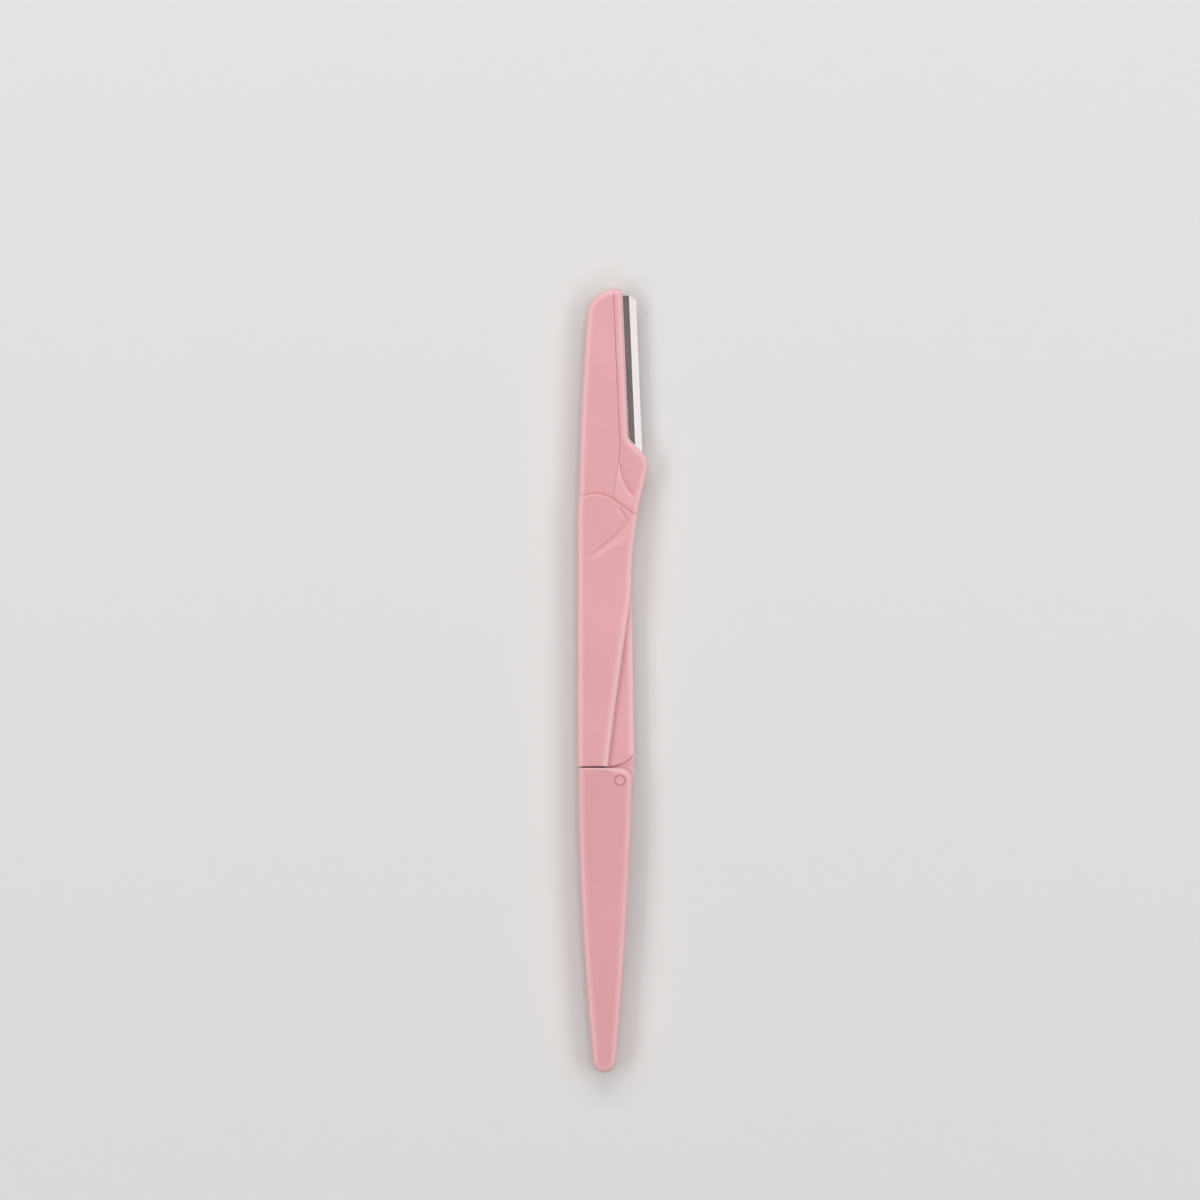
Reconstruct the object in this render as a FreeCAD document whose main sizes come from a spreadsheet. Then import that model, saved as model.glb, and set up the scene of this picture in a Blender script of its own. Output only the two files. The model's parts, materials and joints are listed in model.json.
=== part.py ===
"""Folding eyebrow razor: an arm that carries the blade and a handle that folds beside it.

The arm is a core plate between two scales, with a steel blade moulded into the core's head.
The handle is two half shells, welded face to face, whose slot swallows the core's web when it folds.
Lengths are millimetres. Outlines are drawn with the hinge at zero: +X towards the cutting edge,
+Y towards the blade's tip, +Z out of the front face. The mid-plane of the razor is z = 0 in each
body, and each body's placement then sets the razor on its back, centred on its own box.
"""
import FreeCAD, Part
import os
import re
import Sketcher
from FreeCAD import Vector

# Driving dimensions: name, value in millimetres (or degrees, or a share), meaning
SIZES = [
    ("thickness", 5.0, "front face of the grip to its back face"),
    ("head_step", 0.5, "how far the head's face lies below the grip's face"),
    ("web_thickness", 2.4, "core plate between the scales"),
    ("tang_thickness", 1.6, "core at the hinge, inside the handle's slot"),
    ("seat_clearance", 0.05, "between the core and the seat that holds it"),
    ("side_clearance", 0.1, "between the web and each cheek of the handle"),
    ("grip_left", 8.95, "hinge to the back edge of the grip"),
    ("grip_length", 60.2, "hinge to the crest of the grip's top edge"),
    ("crest_left", 4.7, "crest of the grip's top edge, left of the hinge"),
    ("crest_fall", 1.0, "fall of the top edge from its crest to the back edge"),
    ("step_in", 0.28, "head's back edge inside the grip's back edge at the step"),
    ("step_lean", 1.6, "height over which the grip's back edge leans in to the step"),
    ("seam_left", 1.4, "where the seam meets the grip's top edge, left of the hinge"),
    ("seam_fall", 1.1, "fall of the top edge from its crest to the seam"),
    ("throat_right", 3.75, "front end of the grip's top edge, right of the hinge"),
    ("throat_fall", 4.8, "fall of the top edge from its crest to that end"),
    ("neck_right", 2.52, "front edge of the grip at its narrowest"),
    ("neck_height", 43.0, "hinge to the narrowest place"),
    ("neck_hollow", 0.2, "hollow of the front edge between neck and throat"),
    ("knee_rise", 9.3, "grip's crest to the knee of the seam"),
    ("knee_hollow", 0.15, "hollow of the seam below its knee"),
    ("head_length", 33.8, "knee of the seam to the top of the head"),
    ("seam_lean", 1.4, "sideways lean of the seam over the head"),
    ("head_left", 6.95, "back edge of the head below its round corner"),
    ("head_side_bulge", 0.31, "bulge of the head's back edge"),
    ("corner_height", 6.3, "height of the head's round corner"),
    ("corner_across_share", 0.28, "place of the corner's middle, across"),
    ("corner_up_share", 0.7, "place of the corner's middle, upwards"),
    ("tongue_left", 5.3, "hidden edge of the core plate"),
    ("tongue_drop", 9.0, "top of the head to where the hidden plate starts to narrow"),
    ("tip_wall", 1.0, "head above the hidden plate"),
    ("blade_wall", 0.6, "hidden plate behind the blade"),
    ("web_toe", 1.2, "start of the web's rounded lower end, left of the hinge"),
    ("web_heel_rise", 2.8, "rise of that end at the front edge"),
    ("web_round_share", 0.23, "rise at the middle of the rounded end"),
    ("strip_width", 1.93, "plastic strip between the seam and the blade"),
    ("foot_radius", 2.6, "hollow between the strip and the finger stop"),
    ("stop_reach", 6.09, "hinge line to the crest of the finger stop"),
    ("stop_rise", 6.1, "grip's crest to the crest of the finger stop"),
    ("nose_radius", 3.25, "round nose of the finger stop"),
    ("nose_turn", 14, "degrees that the nose turns below its crest"),
    ("shoulder_turn", 45, "degrees that the nose turns above its crest"),
    ("blade_thickness", 0.3, "steel strip"),
    ("blade_exposure", 2.77, "blade shown beside the strip"),
    ("blade_seat", 3.3, "blade hidden in the core"),
    ("blade_setback", 1.3, "top of the head to the top of the blade"),
    ("blade_tail", 2.4, "blade hidden below the knee"),
    ("bevel_width", 1.5, "ground bevel"),
    ("edge_land", 0.04, "thickness left at the cutting edge"),
    ("clip_width", 1.45, "clipped corner of the blade, across"),
    ("clip_height", 1.0, "clipped corner of the blade, down"),
    ("plug_radius", 0.9, "core plugs through the blade"),
    ("plug_inset", 1.6, "plugs, in from the blade's hidden edge"),
    ("low_plug_share", 0.2, "lower plug along the blade"),
    ("high_plug_share", 0.8, "upper plug along the blade"),
    ("leaf_depth", 0.35, "hollow beside the petal of the finger stop"),
    ("leaf_low_fall", 0.8, "lower end of the hollow under the grip's crest"),
    ("leaf_low_right", 3.3, "lower end of the hollow, right of the hinge"),
    ("leaf_top_fall", 2.3, "knee to the upper end of the hollow"),
    ("leaf_top_right", 0.05, "upper end of the hollow, right of the hinge"),
    ("leaf_width", 0.75, "width of the hollow"),
    ("leaf_sag", 1.09, "curve of the hollow"),
    ("arrow_depth", 0.3, "arrow-shaped groove in the grip's face"),
    ("arrow_top_fall", 2.4, "grip's crest to the upper end of the groove"),
    ("arrow_top_left", 1.1, "upper end of the groove, left of the hinge"),
    ("arrow_tip_fall", 5.4, "grip's crest to the tip of the groove"),
    ("arrow_tip_right", 1.05, "tip of the groove, right of the hinge"),
    ("arrow_end_fall", 13.2, "grip's crest to the lower end of the groove"),
    ("arrow_end_left", 7.3, "lower end of the groove, left of the hinge"),
    ("arrow_width", 1.0, "width of the groove below its tip"),
    ("arrow_tip_share", 0.75, "width of the groove at its tip, as a share of that width"),
    ("arrow_turn_in", 0.4, "where the groove has turned at its tip, across"),
    ("arrow_turn_fall", 1.1, "where the groove has turned at its tip, down"),
    ("arrow_bow", 0.5, "bow of the groove below its tip"),
    ("peg_radius", 0.7, "locating pegs"),
    ("peg_height", 0.4, "how far a peg enters its socket"),
    ("peg_clearance", 0.05, "around and above a peg"),
    ("arm_peg_left", 4.1, "pegs of the arm, left of the hinge"),
    ("low_peg_height", 12.0, "hinge to the lower peg"),
    ("mid_peg_height", 46.0, "hinge to the middle peg"),
    ("top_peg_drop", 12.0, "top of the head to the upper peg"),
    ("rim_radius", 0.9, "rounded outer edges"),
    ("stop_radius", 0.7, "rounded edges of the finger stop and the strip"),
    ("handle_reach", 61.3, "hinge to the tail's end"),
    ("handle_left", 8.83, "hinge to the back edge of the handle at its top"),
    ("handle_back_bulge", 0.72, "bulge of the handle's back edge"),
    ("handle_front_bulge", 0.45, "bulge of the handle's front edge"),
    ("tail_radius", 2.5, "rounded tail"),
    ("tail_left", 3.2, "centre of the tail, left of the hinge"),
    ("cheek_radius", 2.7, "rounded corner of the handle about the hinge"),
    ("tang_radius", 3.05, "rounded end of the core about the hinge"),
    ("hinge_gap", 0.3, "between the handle's top and the scales"),
    ("fold_angle", 175, "degrees that the handle turns from open to folded"),
    ("fold_clearance", 0.15, "between the folded handle and the scales"),
    ("slot_clearance", 0.3, "between the web's edge and the floor of the slot"),
    ("handle_peg_left", 6.0, "upper peg of the handle, left of the hinge"),
    ("handle_peg_drop", 12.0, "hinge to the upper peg of the handle"),
    ("tail_peg_rise", 8.0, "tail's centre to the lower peg of the handle"),
    ("boss_radius", 1.9, "bearing boss on the tang"),
    ("pin_radius", 0.95, "hinge pin"),
    ("pin_play", 0.05, "running clearance of the pin in the tang"),
    ("pin_fit", 0.01, "clearance of the pin in the cheeks"),
    ("pin_chamfer", 0.15, "broken edge of the pin"),
    ("ring_width", 0.3, "sunk ring around the pin's ends"),
    ("ring_depth", 0.25, "depth of that ring"),
    ("overrun", 6.0, "how far a cut runs past what it cuts"),
]
NAMES = [row[0] for row in SIZES]

# Places along the razor, as sums of the sizes above
FACE = "(thickness / 2)"
PANEL_FACE = "(thickness / 2 - head_step)"
HINGE_LINE = "(cheek_radius + hinge_gap)"
KNEE = "(grip_length + knee_rise)"
HEAD_TOP = "(grip_length + knee_rise + head_length)"
TONGUE_TOP = f"({HEAD_TOP} - tongue_drop)"
TONGUE_TIP = f"({HEAD_TOP} - tip_wall)"
STOP_CREST = "(grip_length + stop_rise)"
TAIL_CENTRE = "(handle_reach - tail_radius)"
BLADE_TOP = f"({HEAD_TOP} - blade_setback)"
BLADE_FOOT = f"({KNEE} - blade_tail)"


def expression(text):
    """Spell a sum of size names as the sheet's cells."""
    return re.sub(r"[a-z_]+", lambda m: f"Sizes.{m[0]}" if m[0] in NAMES else m[0], text)


def value(text):
    """Work out a sum of size names."""
    return float(sheet.evalExpression(expression(text)))


def bind(target, prop, text):
    """Tie a property to the sheet."""
    target.setExpression(prop, expression(text))


def middle(a, b, aside="0"):
    """The point halfway between a and b, moved sideways."""
    return (f"(({a[0]}) + ({b[0]})) / 2 + ({aside})", f"(({a[1]}) + ({b[1]})) / 2")


def leaning_middle(a, b, turn):
    """The middle of the arc from a up to b that arrives at b leaning by an angle from upright."""
    run = f"(({b[0]}) - ({a[0]}))"
    rise = f"(({b[1]}) - ({a[1]}))"
    lean = f"atan({run} / {rise})"
    sag = f"sqrt({run} ^ 2 + {rise} ^ 2) / 2 * tan(({turn} * 1 deg - {lean}) / 2)"
    x, y = middle(a, b)
    return (f"{x} - {sag} * cos({lean})", f"{y} + {sag} * sin({lean})")


def seam_line(height, aside="0"):
    """A point on the seam's straight run, or on a line beside it, at a height."""
    return (f"-seam_lean * (({height}) - {KNEE}) / head_length + ({aside})", height)


def folded(point):
    """Where a point of the handle lies, seen from the arm, once folded, moved off by the clearance."""
    x, y = point
    return (f"({x}) * cos(fold_angle) - ({y}) * sin(fold_angle) - fold_clearance",
            f"({x}) * sin(fold_angle) + ({y}) * cos(fold_angle)")


def swallowed(point):
    """Where a point of the arm lies, seen from the handle, once folded."""
    x, y = point
    return (f"({x}) * cos(fold_angle) + ({y}) * sin(fold_angle)",
            f"({y}) * cos(fold_angle) - ({x}) * sin(fold_angle)")


def at(point):
    """The point's place as a vector."""
    return Vector(value(point[0]), value(point[1]), 0)


def pin_down(sketch, geometry, end, point):
    """Hold one end of a sketch line at a point of named sizes."""
    place = at(point)
    for kind, text, number in (("DistanceX", point[0], place.x), ("DistanceY", point[1], place.y)):
        index = sketch.addConstraint(Sketcher.Constraint(kind, -1, 1, geometry, end, number))
        bind(sketch, f"Constraints[{index}]", text)


def draw_circle(sketch, centre, radius):
    """A circle of a named radius."""
    circle = sketch.addGeometry(Part.Circle(at(centre), Vector(0, 0, 1), value(radius)))
    pin_down(sketch, circle, 3, centre)
    index = sketch.addConstraint(Sketcher.Constraint("Radius", circle, value(radius)))
    bind(sketch, f"Constraints[{index}]", radius)


def draw_outline(sketch, start, *steps):
    """A closed outline: each step is a point to go straight to, or a (through, end) pair for an arc."""
    here = start
    ends = []
    for step in steps:
        arc = isinstance(step[0], tuple)
        end = step[1] if arc else step
        if arc:
            geometry = sketch.addGeometry(Part.Arc(at(here), at(step[0]), at(end)))
            through = sketch.addGeometry(Part.Point(at(step[0])), True)
            pin_down(sketch, through, 1, step[0])
            sketch.addConstraint(Sketcher.Constraint("PointOnObject", through, 1, geometry))
        else:
            geometry = sketch.addGeometry(Part.LineSegment(at(here), at(end)))
        forward = sketch.getPoint(geometry, 1).distanceToPoint(at(here)) < value("seat_clearance")
        first, last = (1, 2) if forward else (2, 1)
        pin_down(sketch, geometry, first, here)
        ends.append((geometry, first, last))
        here = end
    for (geometry, _, last), (following, first, _) in zip(ends, ends[1:] + ends[:1]):
        sketch.addConstraint(Sketcher.Constraint("Coincident", geometry, last, following, first))


def new_body(label):
    """A sub-part, set down so that the razor lies on its back, centred on its box."""
    body = doc.addObject("PartDesign::Body", label)
    body.Label = label
    bind(body, "Placement.Base.x", "(grip_left - stop_reach) / 2")
    bind(body, "Placement.Base.y", f"(handle_reach - {HEAD_TOP}) / 2")
    bind(body, "Placement.Base.z", FACE)
    return body


def new_sketch(body, name, height="0"):
    """A sketch in the razor's plane, at a height above its mid-plane."""
    sketch = body.newObject("Sketcher::SketchObject", f"{body.Label}_{name}_sketch")
    plane = next(item for item in body.Origin.OriginFeatures if item.Role == "XY_Plane")
    sketch.AttachmentSupport = (plane, "")
    sketch.MapMode = "FlatFace"
    bind(sketch, "AttachmentOffset.Base.z", height)
    return sketch


def pad(body, sketch, name, length, side=0):
    """Thicken a sketch: to the front (1), to the back (-1), or evenly about its plane (0)."""
    feature = body.newObject("PartDesign::Pad", f"{body.Label}_{name}")
    feature.Profile = sketch
    feature.SideType = "One side" if side else "Symmetric"
    feature.Reversed = side < 0
    bind(feature, "Length", length)
    doc.recompute()
    return feature


def pocket(body, sketch, name, length, side=0):
    """Cut a sketch away: to the front (1), to the back (-1), or evenly about its plane (0)."""
    before = body.Shape.Volume
    feature = body.newObject("PartDesign::Pocket", f"{body.Label}_{name}")
    feature.Profile = sketch
    feature.SideType = "One side" if side else "Symmetric"
    feature.Reversed = side > 0
    bind(feature, "Length", length)
    doc.recompute()
    if feature.Shape.isNull() or feature.Shape.Volume >= before:
        raise RuntimeError(f"{feature.Name} cuts nothing")
    return feature


def nearest_edge(shape, probe):
    """Name of the edge that passes closest to a point of named sizes."""
    x, y, z = probe
    spot = Part.Vertex(value(x), value(y), value(z))
    gaps = [edge.distToShape(spot)[0] for edge in shape.Edges]
    return f"Edge{gaps.index(min(gaps)) + 1}"


def round_off(body, name, radius, probes):
    """Fillet the edges that pass through the probe points."""
    base = body.Tip
    edges = sorted({nearest_edge(base.Shape, probe) for probe in probes})
    feature = body.newObject("PartDesign::Fillet", f"{body.Label}_{name}")
    feature.Base = (base, edges)
    bind(feature, "Radius", radius)
    doc.recompute()
    return feature


doc = FreeCAD.newDocument("folding_razor")
sheet = doc.addObject("Spreadsheet::Sheet", "Sizes")
for row, (name, number, meaning) in enumerate(SIZES, 1):
    sheet.set(f"A{row}", name)
    sheet.set(f"B{row}", str(number))
    sheet.setAlias(f"B{row}", name)
    sheet.set(f"C{row}", meaning)
doc.recompute()

# Corners that more than one piece shares
BACK_LOW = ("-grip_left", HINGE_LINE)
FRONT_LOW = ("tang_radius", HINGE_LINE)
HEEL = ("tang_radius", f"{HINGE_LINE} + web_heel_rise")
NECK = ("neck_right", "neck_height")
THROAT = ("throat_right", "grip_length - throat_fall")
SEAM_LOW = ("-seam_left", "grip_length - seam_fall")
SEAM_KNEE = seam_line(KNEE)
SEAM_TOP = seam_line(HEAD_TOP)
HEAD_CORNER = ("-head_left", f"{HEAD_TOP} - corner_height")
SHOULDER = ("step_in - grip_left", "grip_length - crest_fall")
SHOULDER_LOW = ("-grip_left", "grip_length - crest_fall - step_lean")
CREST = ("-crest_left", "grip_length")
NECK_ARC = (middle(NECK, THROAT, "-neck_hollow"), THROAT)
SEAM_ARC = (middle(SEAM_LOW, SEAM_KNEE, "knee_hollow"), SEAM_KNEE)
HEAD_CORNER_ARC = (("corner_across_share * (head_left - seam_lean) - head_left",
                    f"{HEAD_TOP} - corner_height * (1 - corner_up_share)"), HEAD_CORNER)
HEAD_SIDE_ARC = (middle(HEAD_CORNER, SHOULDER, "-head_side_bulge"), SHOULDER)
ARM_PEGS = [("-arm_peg_left", "low_peg_height"), ("-arm_peg_left", "mid_peg_height"),
            ("-arm_peg_left", f"{HEAD_TOP} - top_peg_drop")]
HANDLE_PEGS = [("-handle_peg_left", "-handle_peg_drop"),
               ("-tail_left", f"tail_peg_rise - {TAIL_CENTRE}")]
PIVOT = ("0", "0")
BLADE_BACK_FOOT = seam_line(BLADE_FOOT, "strip_width - blade_seat")
BLADE_BACK_TOP = seam_line(BLADE_TOP, "strip_width - blade_seat")
BLADE_EDGE_TOP = seam_line(BLADE_TOP, "strip_width + blade_exposure")
BLADE_EDGE_FOOT = seam_line(BLADE_FOOT, "strip_width + blade_exposure")
PLUG_ASIDE = "strip_width - blade_seat + plug_inset"
PLUGS = [seam_line(f"{BLADE_FOOT} + {share} * ({BLADE_TOP} - {BLADE_FOOT})", PLUG_ASIDE)
         for share in ("low_plug_share", "high_plug_share")]
HANDLE_BACK_TOP = ("-handle_left", "cheek_radius")
CHEEK_TOP = ("0", "cheek_radius")
CHEEK_MIDDLE = ("cheek_radius * cos(45)", "cheek_radius * sin(45)")
CHEEK_FRONT = ("cheek_radius", "0")
TAIL_FRONT = ("tail_radius - tail_left", f"-{TAIL_CENTRE}")
TAIL_END = ("-tail_left", "-handle_reach")
TAIL_BACK = ("-tail_radius - tail_left", f"-{TAIL_CENTRE}")
HANDLE_FRONT_MIDDLE = middle(CHEEK_FRONT, TAIL_FRONT, "handle_front_bulge")
HANDLE_BACK_MIDDLE = middle(TAIL_BACK, HANDLE_BACK_TOP, "-handle_back_bulge")


def make_core():
    """Core plate: tang with its boss, web between the scales, and the strip with the finger stop."""
    body = new_body("arm_core")
    sketch = new_sketch(body, "tang")
    draw_outline(sketch, ("-tang_radius", "0"), ("-tang_radius", HEEL[1]), HEEL, ("tang_radius", "0"),
                 (("0", "-tang_radius"), ("-tang_radius", "0")))
    pad(body, sketch, "tang", "tang_thickness")

    sketch = new_sketch(body, "boss")
    draw_circle(sketch, PIVOT, "boss_radius")
    pad(body, sketch, "boss", "web_thickness")

    toe = ("-web_toe", HINGE_LINE)
    web_round = (middle(toe, HEEL)[0], f"{HINGE_LINE} + web_round_share * web_heel_rise")
    back_low = ("-tongue_left", HINGE_LINE)
    sketch = new_sketch(body, "web")
    draw_outline(sketch, back_low, toe, (web_round, HEEL), NECK, NECK_ARC,
                 seam_line(KNEE, "strip_width / 2"), seam_line(TONGUE_TIP, "strip_width / 2"),
                 seam_line(TONGUE_TIP, "strip_width - blade_seat - blade_wall"),
                 ("-tongue_left", TONGUE_TOP), back_low)
    pad(body, sketch, "web", "web_thickness")

    nose_low = ("stop_reach - nose_radius * (1 - cos(nose_turn))",
                f"{STOP_CREST} - nose_radius * sin(nose_turn)")
    nose_crest = ("stop_reach", STOP_CREST)
    shoulder = ("stop_reach - nose_radius * (1 - cos(shoulder_turn))",
                f"{STOP_CREST} + nose_radius * sin(shoulder_turn)")
    lean = "seam_lean / head_length"
    shoulder_length = (f"(({shoulder[0]}) - strip_width + {lean} * ({shoulder[1]} - {KNEE}))"
                       f" / (sin(shoulder_turn) - {lean} * cos(shoulder_turn))")
    foot = (f"{shoulder[0]} - {shoulder_length} * sin(shoulder_turn)",
            f"{shoulder[1]} + {shoulder_length} * cos(shoulder_turn)")
    underside = leaning_middle(THROAT, nose_low, "nose_turn")
    seam_low = (f"{SEAM_LOW[0]} + seat_clearance", SEAM_LOW[1])
    seam_bend = (f"{SEAM_ARC[0][0]} + seat_clearance", SEAM_ARC[0][1])
    sketch = new_sketch(body, "strip")
    draw_outline(sketch, THROAT, (underside, nose_low), (nose_crest, shoulder), foot,
                 seam_line(HEAD_TOP, "strip_width"), seam_line(HEAD_TOP, "seat_clearance"),
                 seam_line(KNEE, "seat_clearance"), (seam_bend, seam_low), THROAT)
    pad(body, sketch, "strip", f"2 * {PANEL_FACE}")

    round_off(body, "foot", "foot_radius", [(*foot, "0")])
    strip_middle = middle(foot, seam_line(HEAD_TOP, "strip_width"))
    round_off(body, "rims", "stop_radius",
              [(*spot, f"{side} * {PANEL_FACE}")
               for spot in (underside, nose_crest, middle(shoulder, foot), strip_middle)
               for side in (1, -1)])

    sketch = new_sketch(body, "blade_slot")
    draw_outline(sketch, BLADE_BACK_FOOT, BLADE_BACK_TOP, BLADE_EDGE_TOP, BLADE_EDGE_FOOT, BLADE_BACK_FOOT)
    for spot in PLUGS:
        draw_circle(sketch, spot, "plug_radius")
    pocket(body, sketch, "blade_slot", "blade_thickness")

    sketch = new_sketch(body, "bores")
    draw_circle(sketch, PIVOT, "pin_radius + pin_play")
    for spot in ARM_PEGS:
        draw_circle(sketch, spot, "peg_radius + peg_clearance")
    pocket(body, sketch, "bores", "thickness")

    leaf_top = ("leaf_top_right", f"{KNEE} - leaf_top_fall")
    leaf_low = ("leaf_low_right", "grip_length - leaf_low_fall")
    for side, face in ((1, "front"), (-1, "back")):
        sketch = new_sketch(body, f"{face}_leaf", f"{side} * ({PANEL_FACE} - leaf_depth)")
        draw_outline(sketch, leaf_top, (middle(leaf_top, leaf_low, "-leaf_sag"), leaf_low),
                     (middle(leaf_top, leaf_low, "leaf_width - leaf_sag"), leaf_top))
        pocket(body, sketch, f"{face}_leaf", "overrun", side)
    return body


def blade_section(body, name, height):
    """Cross-section of the blade at a height: a flat strip whose front narrows to the cutting edge."""
    sketch = body.newObject("Sketcher::SketchObject", f"blade_{name}_section_sketch")
    plane = next(item for item in body.Origin.OriginFeatures if item.Role == "XZ_Plane")
    sketch.AttachmentSupport = (plane, "")
    sketch.MapMode = "FlatFace"
    bind(sketch, "AttachmentOffset.Base.z", f"-{height}")
    back = seam_line(height, "strip_width - blade_seat")[0]
    bevel = seam_line(height, "strip_width + blade_exposure - bevel_width")[0]
    edge = seam_line(height, "strip_width + blade_exposure")[0]
    flat = "blade_thickness / 2"
    land = "edge_land / 2"
    draw_outline(sketch, (back, f"-{flat}"), (bevel, f"-{flat}"), (edge, f"-{land}"), (edge, land),
                 (bevel, flat), (back, flat), (back, f"-{flat}"))
    return sketch


def make_blade():
    """Steel blade: a thin strip with a bevel ground on both faces, a clipped corner and two holes."""
    body = new_body("blade")
    strip = body.newObject("PartDesign::AdditiveLoft", "blade_strip")
    strip.Profile = blade_section(body, "foot", BLADE_FOOT)
    strip.Sections = [blade_section(body, "top", BLADE_TOP)]
    strip.Ruled = True
    doc.recompute()

    clip_start = (f"{BLADE_EDGE_TOP[0]} - clip_width", BLADE_TOP)
    clip_end = seam_line(f"{BLADE_TOP} - clip_height", "strip_width + blade_exposure")
    past_start = (clip_start[0], f"{BLADE_TOP} + overrun")
    past_corner = (f"{BLADE_EDGE_TOP[0]} + overrun", f"{BLADE_TOP} + overrun")
    past_end = (past_corner[0], clip_end[1])
    sketch = new_sketch(body, "clip")
    draw_outline(sketch, clip_start, past_start, past_corner, past_end, clip_end, clip_start)
    pocket(body, sketch, "clip", "thickness")

    sketch = new_sketch(body, "holes")
    for spot in PLUGS:
        draw_circle(sketch, spot, "plug_radius + peg_clearance")
    pocket(body, sketch, "holes", "thickness")
    return body


def make_scale(label, side):
    """Half of the arm's casing: a low panel beside the head and a raised grip with its groove."""
    body = new_body(label)
    sketch = new_sketch(body, "panel")
    draw_outline(sketch, BACK_LOW, FRONT_LOW, HEEL, NECK, NECK_ARC, SEAM_LOW, SEAM_ARC, SEAM_TOP,
                 HEAD_CORNER_ARC, HEAD_SIDE_ARC, SHOULDER_LOW, BACK_LOW)
    pad(body, sketch, "panel", PANEL_FACE, side)
    back_middle = middle(BACK_LOW, SHOULDER_LOW)
    lean_middle = middle(SHOULDER_LOW, SHOULDER)
    round_off(body, "panel_rim", "rim_radius",
              [(*spot, f"{side} * {PANEL_FACE}")
               for spot in (back_middle, lean_middle, HEAD_SIDE_ARC[0], HEAD_CORNER_ARC[0])])

    sketch = new_sketch(body, "grip")
    draw_outline(sketch, BACK_LOW, FRONT_LOW, HEEL, NECK, NECK_ARC, SEAM_LOW, (CREST, SHOULDER),
                 SHOULDER_LOW, BACK_LOW)
    pad(body, sketch, "grip", FACE, side)
    round_off(body, "grip_rim", "rim_radius",
              [(*spot, f"{side} * {FACE}")
               for spot in (back_middle, lean_middle, middle(HEEL, NECK), NECK_ARC[0])])

    seat_left = "-tongue_left - seat_clearance"
    seat_right = "stop_reach + overrun"
    seat_low = f"{HINGE_LINE} - overrun"
    seat_tip = f"{TONGUE_TIP} + seat_clearance"
    sketch = new_sketch(body, "seat")
    draw_outline(sketch, (seat_left, seat_low), (seat_right, seat_low), (seat_right, seat_tip),
                 seam_line(seat_tip, "strip_width - blade_seat - blade_wall - seat_clearance"),
                 (seat_left, TONGUE_TOP), (seat_left, seat_low))
    pocket(body, sketch, "seat", "web_thickness / 2 + seat_clearance", side)

    fold_low = folded(CHEEK_FRONT)
    fold_high = folded(TAIL_FRONT)
    fold_right = f"{fold_high[0]} + overrun"
    sketch = new_sketch(body, "recess")
    draw_outline(sketch, fold_low, (folded(HANDLE_FRONT_MIDDLE), fold_high), (fold_right, fold_high[1]),
                 (fold_right, fold_low[1]), fold_low)
    pocket(body, sketch, "recess", "thickness", side)

    tip_height = "grip_length - arrow_tip_fall"
    top = ("-arrow_top_left", "grip_length - arrow_top_fall")
    end = ("-arrow_end_left", "grip_length - arrow_end_fall")
    turn = ("arrow_tip_right - arrow_turn_in", f"{tip_height} - arrow_turn_fall")
    outer_turn = (f"{turn[0]} + arrow_width", f"{turn[1]} - arrow_width")
    sketch = new_sketch(body, "arrow", f"{side} * ({FACE} - arrow_depth)")
    draw_outline(sketch, top, (("arrow_tip_right", tip_height), turn),
                 (middle(turn, end, "arrow_bow"), end),
                 (middle(end, outer_turn, "arrow_bow + arrow_width / 2"), outer_turn),
                 (("arrow_tip_right + arrow_width * arrow_tip_share", tip_height), top))
    pocket(body, sketch, "arrow", "overrun", side)

    seat_floor = "(web_thickness / 2 + seat_clearance)"
    if side > 0:
        sketch = new_sketch(body, "sockets", seat_floor)
        for spot in ARM_PEGS:
            draw_circle(sketch, spot, "peg_radius + peg_clearance")
        pocket(body, sketch, "sockets", "peg_height + peg_clearance", side)
    else:
        sketch = new_sketch(body, "pegs", f"-{seat_floor} - peg_height")
        for spot in ARM_PEGS:
            draw_circle(sketch, spot, "peg_radius")
        pad(body, sketch, "pegs", f"2 * {seat_floor} + 2 * peg_height", -side)
    return body


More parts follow.
